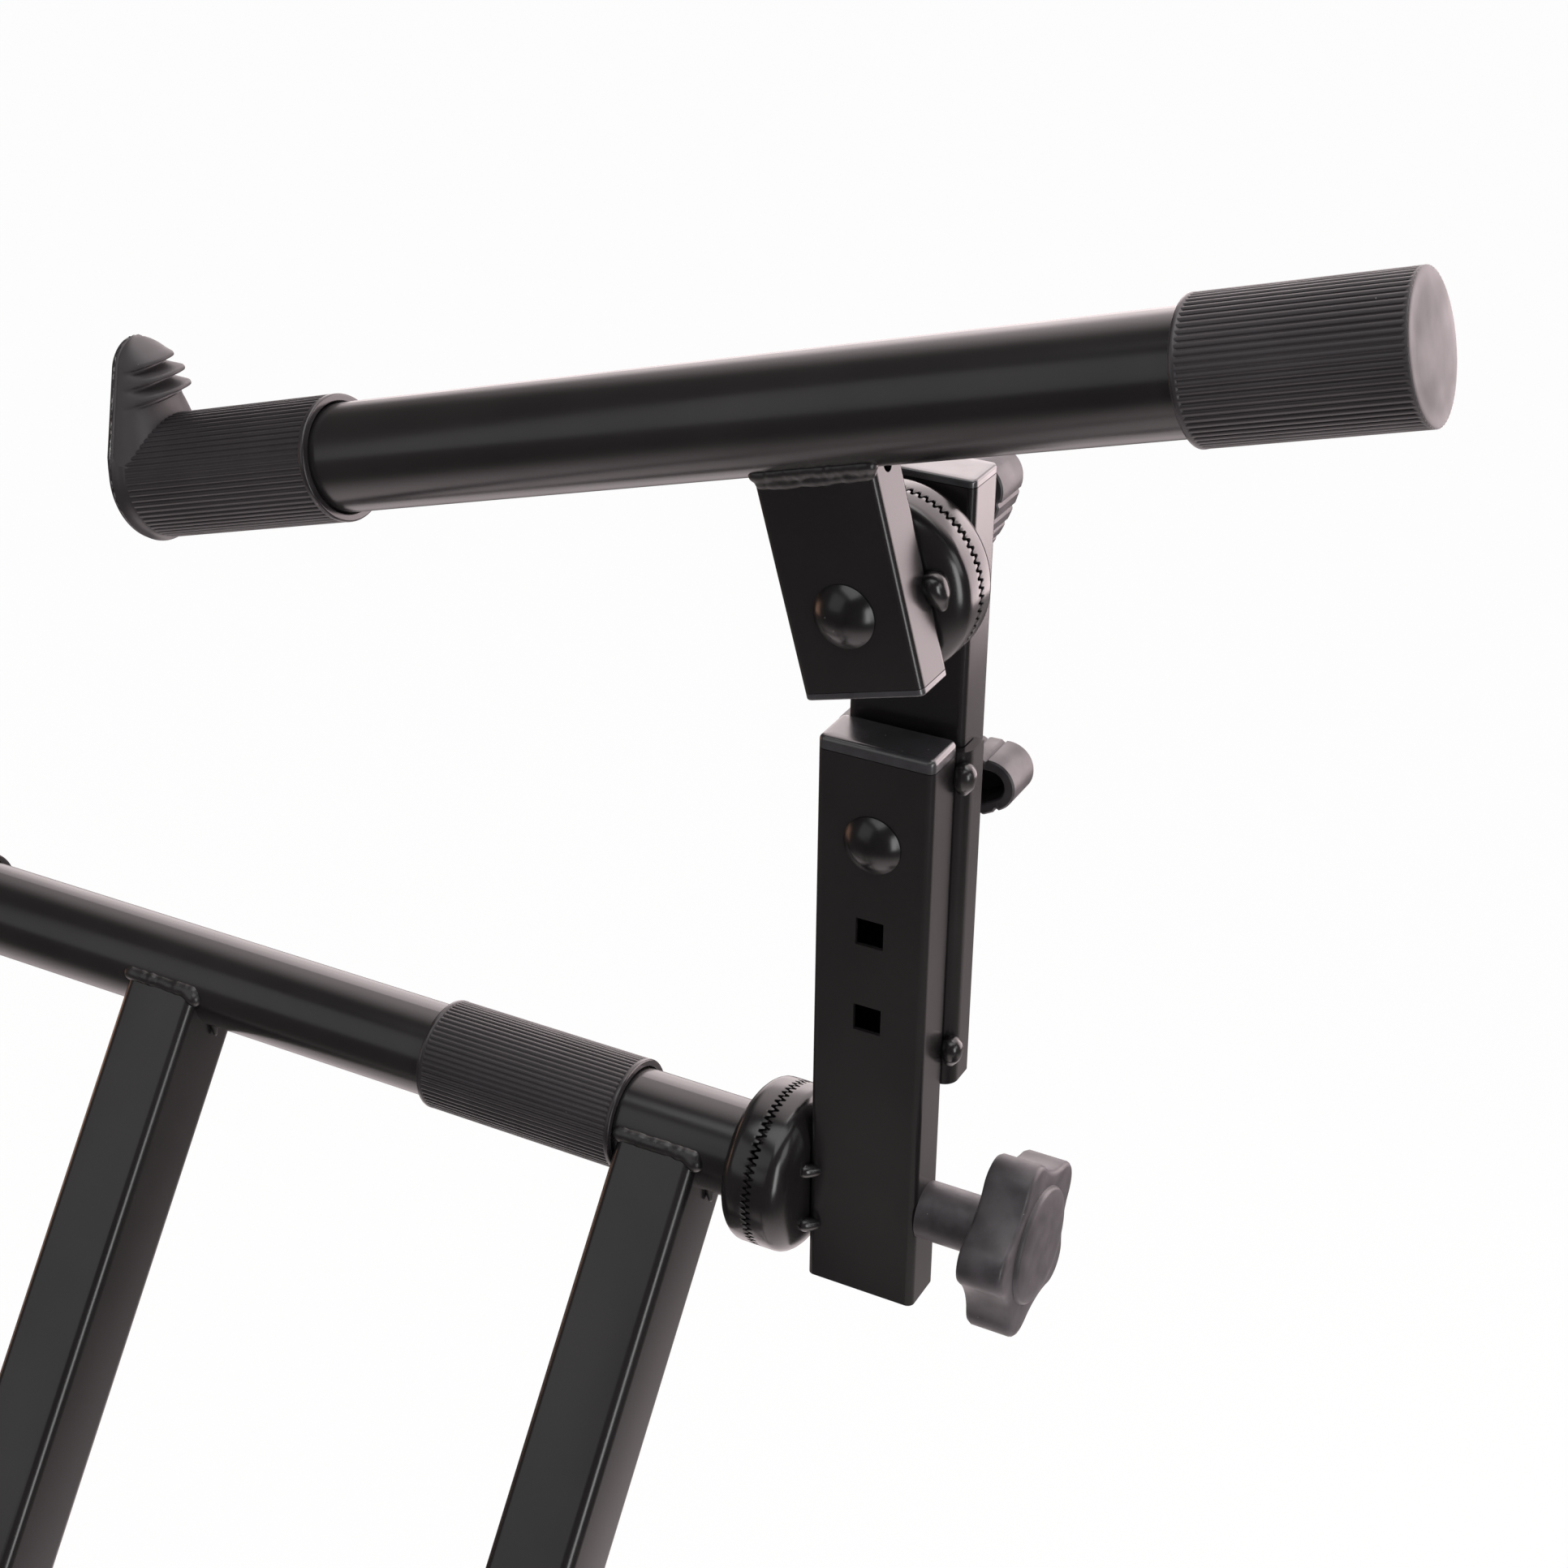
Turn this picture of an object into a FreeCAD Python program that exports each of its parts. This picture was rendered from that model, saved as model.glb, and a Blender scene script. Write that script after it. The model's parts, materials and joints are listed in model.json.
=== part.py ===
import FreeCAD, Part
import math
import os

V = FreeCAD.Vector

# Steel sections: round tubes, square legs, flat posts
tube_od = 35.0
tube_wall = 1.5
leg_side = 32.0
leg_wall = 1.5
leg_corner = 3.0
post_width = 40.0  # along the tubes
post_depth = 18.0  # across the tubes
post_wall = 1.5
post_corner = 2.5

# X frame
leg_length = 960.0  # between the axes of the top tube and the foot tube
leg_angle = 37.5  # of each leg from the vertical, in degrees
leg_spacing = 217.5  # between the axes of the outer frame's legs
rear_leg_setback = 28.3  # from the top tube's rear end to the outer rear leg's axis
tube_length = 433.0
foot_tube_length = 440.0
pivot_gap = 6.0  # between the two rear legs

# Grips, caps and feet
cap_radius = 20.5
rib_count = 66
rib_height = 0.6
rib_share = 0.62  # of the pitch that is rib
rib_flank = 0.1  # of the pitch, on each side of a rib
rim_length = 2.4  # smooth rim at a mouth
mouth_radius = 18.9
mouth_depth = 6.0
sleeve_length = 81.0
sleeve_gap = 1.5  # between a rear leg and the grip sleeve in front of it
rim_round = 1.0
end_plate = 4.0
end_round = 3.6
rear_cap_length = 59.0
foot_cap_length = 45.0
foot_pad_width = 26.0
foot_axis_height = 22.0  # of the foot tubes above the floor

# Finned lip at the front end of each tube: a tongue that narrows upward and leans back
lip_radius = 20.8
lip_thickness = 3.0
lip_height = 47.5  # above the tube's axis
lip_top_radius = 10.3
lean_start = 11.8  # above the tube's axis
lean_slope = 0.24
stop_foot = 14.6  # depth of the stop where it leaves the sleeve
stop_depth = 13.4  # between the fins
fin_count = 3
fin_pitch = 5.2
fin_tip = 1.4
fin_root = 2.2  # from a fin's middle down to the groove under it
fin_reach = 21.8  # behind the tube's end
fin_top = 39.2  # middle of the highest fin above the tube's axis
dome_reach = 19.3
dome_steps = 6

# Toothed clutch cups
cup_radius = 29.5
cup_depth = 13.6  # from the seat to the middle of the teeth
cup_sheet = 2.0
cup_shoulder = 8.0
tooth_count = 72
tooth_height = 2.0
tooth_clear = 0.8  # along the axis, between two meshed crowns

# Tier posts, guide channel and height adjustment
post_below_axis = 36.0
post_height = 205.5
post_cap_height = 3.5
inner_cap_height = 2.6
cap_edge = 1.0
plug_length = 12.0
plug_clear = 0.1
square_hole = 9.8
hole_pitch = 32.5
hole_count = 3
top_hole_below_end = 29.5
guide_sheet = 3.0
guide_depth = 12.5
guide_bend = 5.0
guide_length = 124.3
slide_clear = 0.3
inner_post_length = 205.5
inner_post_bottom = 50.0  # above the lower tube's axis
height_travel = 65.0
slot_width = 9.0
slot_end_clear = 0.6

# Tilting upper arm
tilt_axis_height = 228.2  # above the lower tube's axis
arm_tilt = 15.4  # rear end up, in degrees
arm_rise = 59.5  # from the tilt bolt to the arm tube's axis
arm_front = 253.6  # from the tilt bolt to the tube's front end
arm_length = 429.0
bracket_below_bolt = 23.7
plug_flange = 2.3
vent_radius = 2.5

# Bolts and nuts
bolt_diameter = 8.0
bolt_fit = 0.08  # radial, in every round hole
bolt_head_diameter = 20.4
bolt_head_height = 5.0
neck_side = 8.4
neck_length = 3.0
hex_across = 13.0
hex_height = 5.5
turn_clear = 0.3  # between a turning piece and what it is clamped on

# Star knobs
star_lobes = 5
star_radius = 32.0
star_notch = 25.3
star_lobe_radius = 9.0
star_height = 16.5
star_edge = 1.3
star_dome_radius = 20.5
star_dome_height = 2.6
star_dome_round = 2.2
star_turn = 60.0  # of the first lobe from the horizontal, in degrees
spacer_radius = 10.0
spacer_length = 24.0
knob_grip = 11.0  # of bolt inside a knob

# T-knobs
wing_half_length = 29.5
wing_half_width = 12.0
wing_end_radius = 9.0
wing_depth = 17.5
wing_wall = 3.8
wing_edge = 1.6
wing_web = 4.5
wing_hub_radius = 8.0
wing_hub_length = 5.0
groove_radius = 1.3
groove_pitch = 6.0
groove_count = 8
height_knob_turn = 15.0
tilt_knob_turn = 60.0

# Derived sizes
tube_radius = tube_od / 2
bolt_radius = bolt_diameter / 2
hole_radius = bolt_radius + bolt_fit
half_spread = leg_length * math.sin(math.radians(leg_angle)) / 2
leg_rise = leg_length * math.cos(math.radians(leg_angle))
axis_height = foot_axis_height + leg_rise
tube_rear = -(post_width / 2 + 2 * cup_depth)
tube_front = tube_rear - tube_length
post_top = post_height - post_below_axis
hole_heights = [post_top - top_hole_below_end - i * hole_pitch for i in range(hole_count)]
bolt_height = hole_heights[0]
guide_half_width = post_width / 2 + slide_clear + guide_sheet
inner_near = -(post_depth / 2 + guide_sheet + slide_clear)
inner_middle = inner_near - post_depth / 2
inner_far = inner_near - post_depth
bracket_far = inner_near + 2 * cup_depth
arm_x = bracket_far + post_depth / 2
knob_seat = inner_far - turn_clear
outer_rear_leg = tube_rear - rear_leg_setback
outer_front_leg = outer_rear_leg - leg_spacing
inner_front_leg = outer_front_leg + leg_side + 2 * cup_depth
inner_rear_leg = outer_rear_leg - leg_side - pivot_gap
foot_middle = (outer_rear_leg + outer_front_leg + inner_rear_leg + inner_front_leg) / 4
pivot_height = foot_axis_height + leg_rise / 2 - axis_height


def box(low, high):
    size = high - low
    return Part.makeBox(size.x, size.y, size.z, low)


def rod(radius, start, end):
    return Part.makeCylinder(radius, (end - start).Length, start, end - start)


def along_y(radius, y0, y1, x=0.0, z=0.0):
    return rod(radius, V(x, y0, z), V(x, y1, z))


def along_x(radius, x0, x1, y=0.0, z=0.0):
    return rod(radius, V(x0, y, z), V(x1, y, z))


def upright_edges(shape):
    return [e for e in shape.Edges if abs(e.tangentAt(e.FirstParameter).z) > 0.999]


def bar(size_x, size_y, corner, z0, z1):
    solid = box(V(-size_x / 2, -size_y / 2, z0), V(size_x / 2, size_y / 2, z1))
    return solid.makeFillet(corner, upright_edges(solid))


def hollow_bar(size_x, size_y, wall, corner, z0, z1):
    inside = bar(size_x - 2 * wall, size_y - 2 * wall, max(corner - wall, wall / 4), z0, z1)
    return bar(size_x, size_y, corner, z0, z1).cut(inside)


def round_edges_at(shape, radius, y):
    edges = [e for e in shape.Edges if abs(e.BoundBox.YMin - y) < 1e-6 and abs(e.BoundBox.YMax - y) < 1e-6]
    widest = max(e.Length for e in edges)
    return shape.makeFillet(radius, [e for e in edges if e.Length > widest - 1e-6])


def square_through_x(x0, x1, z, side):
    return box(V(x0, -side / 2, z - side / 2), V(x1, side / 2, z + side / 2))


def arc_chain(points):
    arcs = [Part.Arc(*points[i:i + 3]).toShape() for i in range(0, len(points) - 2, 2)]
    return Part.Face(Part.Wire(arcs))


def turn(axis, degrees):
    return FreeCAD.Rotation(axis, degrees)


def placed(shape, rotation=FreeCAD.Rotation(), move=V(0, 0, 0)):
    copy = shape.copy()
    copy.Placement = FreeCAD.Placement(move, rotation).multiply(shape.Placement)
    return copy


def mirrored(shape):
    return shape.mirror(V(0, 0, 0), V(1, 0, 0))


# Clutch cups, on the Z axis with the first seat at the origin
def cup_shell():
    top = cup_depth + tooth_height
    inner = cup_radius - cup_sheet
    bend = cup_radius - cup_shoulder
    slant = math.sqrt(0.5)
    outer_mid = V(bend + cup_shoulder * slant, 0, cup_shoulder * (1 - slant))
    inner_bend = cup_shoulder - cup_sheet
    inner_mid = V(bend + inner_bend * slant, 0, cup_shoulder - inner_bend * slant)
    edges = [
        Part.makeLine(V(hole_radius, 0, 0), V(bend, 0, 0)),
        Part.Arc(V(bend, 0, 0), outer_mid, V(cup_radius, 0, cup_shoulder)).toShape(),
        Part.makeLine(V(cup_radius, 0, cup_shoulder), V(cup_radius, 0, top)),
        Part.makeLine(V(cup_radius, 0, top), V(inner, 0, top)),
        Part.makeLine(V(inner, 0, top), V(inner, 0, cup_shoulder)),
        Part.Arc(V(inner, 0, cup_shoulder), inner_mid, V(bend, 0, cup_sheet)).toShape(),
        Part.makeLine(V(bend, 0, cup_sheet), V(hole_radius, 0, cup_sheet)),
        Part.makeLine(V(hole_radius, 0, cup_sheet), V(hole_radius, 0, 0)),
    ]
    return Part.Face(Part.Wire(edges)).revolve(V(0, 0, 0), V(0, 0, 1), 360)


# Space above the teeth: flanks are planes through one point on the axis, so two crowns mesh flat
def crown_space():
    middle = cup_depth - tooth_clear / 2
    reach = cup_radius + cup_sheet
    swing = tooth_height / 2 * reach / cup_radius
    apex = V(0, 0, middle)
    lid = middle + 2 * tooth_height
    low, high = [], []
    for i in range(2 * tooth_count):
        angle = math.pi * i / tooth_count
        x = reach * math.cos(angle)
        y = reach * math.sin(angle)
        low.append(V(x, y, middle + swing * (-1) ** i))
        high.append(V(x, y, lid))
    faces = [Part.Face(Part.makePolygon(high + high[:1]))]
    for i in range(2 * tooth_count):
        faces.append(Part.Face(Part.makePolygon([apex, low[i - 1], low[i], apex])))
        faces.append(Part.Face(Part.makePolygon([low[i - 1], low[i], high[i], high[i - 1], low[i - 1]])))
    return Part.Solid(Part.Shell(faces))


def clutch_pair():
    first = cup_shell().cut(crown_space())
    second = first.mirror(V(0, 0, cup_depth), V(0, 0, 1))
    second.rotate(V(0, 0, 0), V(0, 0, 1), 180 / tooth_count)
    return first, second


# Bolts and nuts, head underside at the origin and shank down the Z axis
def carriage_bolt(length):
    ball = (bolt_head_height ** 2 + (bolt_head_diameter / 2) ** 2) / (2 * bolt_head_height)
    head = Part.makeSphere(ball, V(0, 0, bolt_head_height - ball))
    head = head.common(Part.makeCylinder(bolt_head_diameter, bolt_head_height))
    half = neck_side / 2
    neck = box(V(-half, -half, -neck_length), V(half, half, 0))
    return head.fuse([neck, rod(bolt_radius, V(0, 0, 0), V(0, 0, -length))])


def hex_prism(z0, z1):
    corner = hex_across / math.sqrt(3)
    angles = [i * math.pi / 3 for i in range(7)]
    points = [V(corner * math.cos(a), corner * math.sin(a), z0) for a in angles]
    return Part.Face(Part.makePolygon(points)).extrude(V(0, 0, z1 - z0))


def hex_bolt(length):
    return hex_prism(0, hex_height).fuse(rod(bolt_radius, V(0, 0, 0), V(0, 0, -length)))


# Knobs, seat at the origin and facing up the Z axis
def star_outline():
    step = math.pi / star_lobes
    centre = star_radius - star_lobe_radius
    spread = centre * math.cos(step)
    hollow = star_lobe_radius ** 2 - centre ** 2 - star_notch ** 2 + 2 * spread * star_notch
    hollow /= 2 * (star_notch - spread - star_lobe_radius)
    points = []
    for i in range(star_lobes):
        angle = 2 * step * i
        lobe = V(centre * math.cos(angle), centre * math.sin(angle), 0)
        for side in (-1, 1):
            notch = V(math.cos(angle + side * step), math.sin(angle + side * step), 0)
            touch = lobe + (notch * (star_notch + hollow) - lobe).normalize() * star_lobe_radius
            points.append(touch)
            points.append(lobe * (star_radius / centre) if side < 0 else notch * star_notch)
    return arc_chain(points + points[:1])


def star_knob():
    body = star_outline().extrude(V(0, 0, star_height))
    ends = [e for e in body.Edges if e.BoundBox.ZLength < 1e-6]
    body = body.makeChamfer(star_edge, ends)
    dome = Part.makeCylinder(star_dome_radius, star_height + star_dome_height)
    rim = [e for e in dome.Edges if e.BoundBox.ZMin > star_height]
    dome = dome.makeFillet(star_dome_round, rim)
    return body.fuse(dome).cut(Part.makeCylinder(hole_radius, knob_grip + bolt_fit))


def wing_side_radius(half_width):
    end = wing_half_length - wing_end_radius
    slack = half_width - (wing_half_width - wing_end_radius)
    return (end ** 2 + half_width ** 2 - slack ** 2) / (2 * (half_width - slack))


def wing_outline(inset):
    half_width = wing_half_width - inset
    end_radius = wing_end_radius - inset
    end = wing_half_length - wing_end_radius
    side = wing_side_radius(half_width)
    middle = half_width - side
    touch = V(end, -middle, 0).normalize() * side
    corner = V(touch.x, touch.y + middle, 0)
    flip = V(-corner.x, corner.y, 0)
    points = [corner, V(0, half_width, 0), flip, V(-end - end_radius, 0, 0), corner * -1]
    points += [V(0, -half_width, 0), flip * -1, V(end + end_radius, 0, 0), corner]
    return arc_chain(points)


def t_knob():
    top = wing_hub_length + wing_depth
    floor = top - wing_web
    wing = placed(wing_outline(0).extrude(V(0, 0, wing_depth)), move=V(0, 0, wing_hub_length))
    wing = wing.makeFillet(wing_edge, [e for e in wing.Edges if e.BoundBox.ZMin > top - 1e-6])
    pocket = wing_outline(wing_wall).extrude(V(0, 0, wing_depth - wing_web))
    wing = wing.cut(placed(pocket, move=V(0, 0, wing_hub_length)))
    side = wing_side_radius(wing_half_width)
    for i in range(groove_count):
        x = (i - (groove_count - 1) / 2) * groove_pitch
        y = wing_half_width - side + math.sqrt(side ** 2 - x ** 2)
        for sign in (-1, 1):
            wing = wing.cut(rod(groove_radius, V(x, sign * y, 0), V(x, sign * y, top + groove_radius)))
    hub = Part.makeCylinder(wing_hub_radius, floor + wing_web / 2)
    bore = Part.makeCylinder(hole_radius, knob_grip + wing_hub_length + bolt_fit)
    return wing.fuse(hub).cut(bore)


# Plastic pieces of the tubes, on the Y axis with the tube's end at the origin
def ribbed_rod(y0, y1):
    step = 2 * math.pi / rib_count
    rise = rib_flank * step
    groove = (1 - rib_share) * step - 2 * rise
    root = cap_radius - rib_height
    points = []
    for i in range(rib_count):
        angle = i * step
        valley = [(root, 0), (root, groove)]
        crest = [(cap_radius, groove + rise), (cap_radius, step - rise)]
        for radius, turned in valley + crest:
            points.append(V(radius * math.cos(angle + turned), y0, radius * math.sin(angle + turned)))
    outline = Part.Face(Part.makePolygon(points + points[:1]))
    return outline.extrude(V(0, y1 - y0, 0))


def mouth_rim(y, inward):
    ring = along_y(cap_radius, min(y, y + inward * rim_length), max(y, y + inward * rim_length))
    return round_edges_at(ring, rim_round, y)


def mouth_bore(y, inward):
    return along_y(mouth_radius, min(y, y + inward * mouth_depth), max(y, y + inward * mouth_depth))


def rear_cap(length):
    shoulder = end_plate - end_round - rim_length
    end = round_edges_at(along_y(cap_radius, shoulder, end_plate), end_round, end_plate)
    cap = ribbed_rod(rim_length - length, shoulder).fuse([mouth_rim(-length, 1), end])
    return cap.cut([along_y(tube_radius, -length, 0), mouth_bore(-length, 1)])


def foot_cap():
    half = foot_pad_width / 2
    pad = box(V(-half, -foot_cap_length, -foot_axis_height), V(half, end_plate, 0))
    cap = along_y(cap_radius, -foot_cap_length, end_plate).fuse(pad)
    return cap.cut(along_y(tube_radius, -foot_cap_length, 0))


def tongue_half_width(z):
    shoulder = lip_height - lip_top_radius
    if z < shoulder:
        return lip_radius + (lip_top_radius - lip_radius) * z / shoulder
    return math.sqrt(lip_top_radius ** 2 - (z - shoulder) ** 2)


def tongue_back(z):
    return lean_slope * max(z - lean_start, 0)


def tongue_section(z, depth):
    half = tongue_half_width(z)
    back = tongue_back(z)
    stretch = FreeCAD.Matrix()
    stretch.scale(half, depth - back, 1)
    arc = Part.makeCircle(1, V(0, 0, z), V(0, 0, 1), 0, 180).transformGeometry(stretch)
    arc.translate(V(0, back, 0))
    right, left = V(half, back, z), V(-half, back, z)
    front = V(0, -lip_thickness, 0)
    face = Part.makePolygon([left, left + front, right + front, right])
    return Part.Wire(arc.Edges + face.Edges)


def lip_tongue():
    profile = [(0, stop_foot), (lean_start, stop_foot)]
    for i in reversed(range(fin_count)):
        middle = fin_top - i * fin_pitch
        reach = fin_reach if i else dome_reach
        profile.append((middle - fin_root, stop_depth))
        profile += [(middle - fin_tip / 2, reach), (middle + fin_tip / 2, reach)]
    low = fin_top + fin_tip / 2
    top = tongue_back(lip_height)
    for i in range(1, dome_steps + 1):
        angle = math.pi / 2 * i / (dome_steps + 1)
        z = low + (lip_height - low) * math.sin(angle)
        profile.append((z, top + (dome_reach - top) * math.cos(angle)))
    return Part.makeLoft([tongue_section(z, depth) for z, depth in profile], True, True)


def lip_cap():
    disc = along_y(lip_radius, -lip_thickness, 0)
    sleeve = ribbed_rod(0, sleeve_length - rim_length)
    cap = sleeve.fuse([mouth_rim(sleeve_length, -1), disc, lip_tongue()])
    return cap.cut([along_y(tube_radius, 0, sleeve_length), mouth_bore(sleeve_length, -1)])


def bar_cap(flange, edge):
    lid = bar(post_depth, post_width, post_corner, 0, flange)
    if edge:
        lid = lid.makeChamfer(edge, [e for e in lid.Edges if abs(e.BoundBox.ZMin - flange) < 1e-6])
    gap = 2 * (post_wall + plug_clear)
    plug = bar(post_depth - gap, post_width - gap, post_corner / 2, -plug_length, 0)
    return lid.fuse(plug)


# X frame, in the tier frame of its own top tube: X points to the middle of the stand
def leg(y):
    shape = hollow_bar(leg_side, leg_side, leg_wall, leg_corner, 0, leg_length)
    shape = placed(shape, turn(V(0, 1, 0), 180 - leg_angle), V(0, y, 0))
    reach = leg_side
    top = along_y(tube_radius, y - reach, y + reach)
    foot = along_y(tube_radius, y - reach, y + reach, 2 * half_spread, -leg_rise)
    pivot = along_y(hole_radius, y - reach, y + reach, half_spread, pivot_height)
    return shape.cut(top.fuse([foot, pivot]))


def round_tube(y0, y1):
    return along_y(tube_radius, y0, y1).cut(along_y(tube_radius - tube_wall, y0, y1))


def foot_caps():
    half = foot_tube_length / 2
    rear = placed(foot_cap(), move=V(2 * half_spread, foot_middle + half, -leg_rise))
    front = placed(foot_cap(), turn(V(0, 0, 1), 180), V(2 * half_spread, foot_middle - half, -leg_rise))
    return Part.makeCompound([rear, front])


def grip_sleeve(rear_leg):
    back = rear_leg - leg_side / 2 - sleeve_gap
    front = back - sleeve_length
    rims = [mouth_rim(front, 1), mouth_rim(back, -1)]
    sleeve = ribbed_rod(front + rim_length, back - rim_length).fuse(rims)
    return sleeve.cut([along_y(tube_radius, front, back), mouth_bore(front, 1), mouth_bore(back, -1)])


def frame_pieces(side, name, front_leg, rear_leg, cups):
    half = foot_tube_length / 2
    foot = placed(round_tube(-half, half), move=V(2 * half_spread, foot_middle, -leg_rise))
    bolt_length = post_width / 2 - tube_rear + spacer_length + turn_clear + knob_grip
    to_rear = turn(V(1, 0, 0), -90)
    return {
        name + "_top_tube": round_tube(tube_front, tube_rear),
        name + "_front_leg": leg(front_leg),
        name + "_rear_leg": leg(rear_leg),
        name + "_foot_tube": foot,
        name + "_foot_caps": foot_caps(),
        side + "_grip_sleeve": grip_sleeve(rear_leg),
        side + "_lower_lip_cap": placed(lip_cap(), move=V(0, tube_front, 0)),
        side + "_swivel_fixed_cup": placed(cups[0], to_rear, V(0, tube_rear, 0)),
        side + "_swivel_bolt": placed(hex_bolt(bolt_length), turn(V(1, 0, 0), 90), V(0, tube_rear, 0)),
    }


# Lock of the X: meshed cups between the front legs, plain pivot between the rear legs
def lock_cups(cups):
    seat = V(half_spread, outer_front_leg + leg_side / 2, pivot_height)
    return [placed(cup, turn(V(1, 0, 0), -90), seat) for cup in cups]


def pivot_bolts():
    front_face = outer_front_leg - leg_side / 2
    head = inner_front_leg + leg_side / 2 + turn_clear
    to_rear = turn(V(1, 0, 0), -90)
    lock = hex_bolt(head - front_face + turn_clear + knob_grip)
    lock = placed(lock, to_rear, V(half_spread, head, pivot_height))
    rear_face = outer_rear_leg + leg_side / 2
    nut_face = inner_rear_leg - leg_side / 2 - turn_clear
    rear_bolt = hex_bolt(rear_face - nut_face + hex_height)
    rear = placed(rear_bolt, to_rear, V(half_spread, rear_face, pivot_height))
    nut = hex_prism(0, hex_height).cut(Part.makeCylinder(bolt_radius, hex_height))
    nut = placed(nut, turn(V(1, 0, 0), 90), V(half_spread, nut_face, pivot_height))
    ring_front = outer_rear_leg - leg_side / 2 - pivot_gap + turn_clear
    ring_back = outer_rear_leg - leg_side / 2
    ring = along_y(leg_side / 2, ring_front, ring_back, half_spread, pivot_height)
    ring = ring.cut(along_y(bolt_radius, ring_front, ring_back, half_spread, pivot_height))
    return Part.makeCompound([lock, rear, nut, ring])


def lock_knob():
    face = outer_front_leg - leg_side / 2 - turn_clear
    return placed(star_knob(), turn(V(1, 0, 0), 90), V(half_spread, face, pivot_height))


# Tier post with its guide, in the tier frame
def outer_post():
    post = hollow_bar(post_depth, post_width, post_wall, post_corner, -post_below_axis, post_top)
    cuts = [square_through_x(-post_depth, post_depth, z, square_hole) for z in hole_heights]
    return post.cut(cuts + [along_y(hole_radius, -post_width, post_width)])


def guide_channel():
    back = -post_depth / 2
    top = post_top
    outer = box(V(back - guide_depth, -guide_half_width, top - guide_length), V(back, guide_half_width, top))
    outer = outer.makeFillet(guide_bend, [e for e in upright_edges(outer) if e.BoundBox.XMin > back - 1e-6])
    web = back - guide_sheet
    half = guide_half_width - guide_sheet
    inside = box(V(back - 2 * guide_depth, -half, top - guide_length), V(web, half, top))
    bend = [e for e in upright_edges(inside) if e.BoundBox.XMin > web - 1e-6]
    inside = inside.makeFillet(guide_bend - guide_sheet, bend)
    cuts = [square_through_x(back - guide_depth, back, z, square_hole) for z in hole_heights]
    return outer.cut([inside] + cuts)


def knob_spacer():
    face = post_width / 2
    spacer = along_y(spacer_radius, face, face + spacer_length)
    return spacer.cut(along_y(hole_radius, face, face + spacer_length))


def post_pieces(side, cups):
    bolt_length = post_depth / 2 - knob_seat + wing_hub_length + knob_grip
    bolt_seat = V(post_depth / 2, 0, bolt_height)
    return {
        side + "_outer_post": outer_post(),
        side + "_post_cap": placed(bar_cap(post_cap_height, cap_edge), move=V(0, 0, post_top)),
        side + "_guide_channel": guide_channel(),
        side + "_swivel_turning_cup": placed(cups[1], turn(V(1, 0, 0), -90), V(0, tube_rear, 0)),
        side + "_knob_spacer": knob_spacer(),
        side + "_height_bolt": placed(carriage_bolt(bolt_length), turn(V(0, 1, 0), 90), bolt_seat),
    }


# Inner post, slotted so that it slides past the height bolt
def inner_post():
    top = inner_post_bottom + inner_post_length
    post = hollow_bar(post_depth, post_width, post_wall, post_corner, inner_post_bottom, top)
    half = slot_width / 2
    slot_low = bolt_height - height_travel - slot_end_clear
    slot_high = bolt_height + slot_end_clear
    slot = box(V(-post_depth, -half, slot_low), V(post_depth, half, slot_high))
    ends = [along_x(half, -post_depth, post_depth, z=z) for z in (slot_low, slot_high)]
    bolt = along_x(hole_radius, -post_depth, post_depth, z=tilt_axis_height)
    return placed(post.cut([slot, bolt] + ends), move=V(inner_middle, 0, 0))


def inner_post_pieces(side, cups):
    top = inner_post_bottom + inner_post_length
    seat = V(inner_near, 0, tilt_axis_height)
    return {
        side + "_inner_post": inner_post(),
        side + "_inner_post_cap": placed(bar_cap(inner_cap_height, cap_edge), move=V(inner_middle, 0, top)),
        side + "_tilt_fixed_cup": placed(cups[0], turn(V(0, 1, 0), 90), seat),
    }


# Upper arm, level with its tilt bolt on the X axis, then tilted and lifted into place
def arm_bracket():
    bracket = hollow_bar(post_depth, post_width, post_wall, post_corner, -bracket_below_bolt, arm_rise)
    near = post_depth / 2
    neck = square_through_x(0, near, 0, square_hole)
    bolt = along_x(hole_radius, -near, 0)
    tube = along_y(tube_radius, -post_width, post_width, z=arm_rise)
    vent = along_y(vent_radius, 0, post_width, z=arm_rise - tube_radius)
    return placed(bracket.cut([neck, bolt, tube, vent]), move=V(arm_x, 0, 0))


def arm_pieces(side, cups):
    rear = arm_length - arm_front
    tube = placed(round_tube(-arm_front, rear), move=V(arm_x, 0, arm_rise))
    plug = placed(bar_cap(plug_flange, 0), turn(V(1, 0, 0), 180), V(arm_x, 0, -bracket_below_bolt))
    near = arm_x + post_depth / 2
    bolt_length = near - knob_seat + wing_hub_length + knob_grip
    across = turn(V(0, 1, 0), 90)
    level = {
        side + "_arm_tube": tube,
        side + "_arm_bracket": arm_bracket(),
        side + "_bracket_plug": plug,
        side + "_tilt_bolt": placed(carriage_bolt(bolt_length), across, V(near, 0, 0)),
        side + "_arm_lip_cap": placed(lip_cap(), move=V(arm_x, -arm_front, arm_rise)),
        side + "_arm_rear_cap": placed(rear_cap(rear_cap_length), move=V(arm_x, rear, arm_rise)),
    }
    tilt = turn(V(1, 0, 0), arm_tilt)
    lift = V(0, 0, tilt_axis_height)
    pieces = {name: placed(shape, tilt, lift) for name, shape in level.items()}
    pieces[side + "_tilt_turning_cup"] = placed(cups[1], across, V(inner_near, 0, tilt_axis_height))
    return pieces


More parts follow.
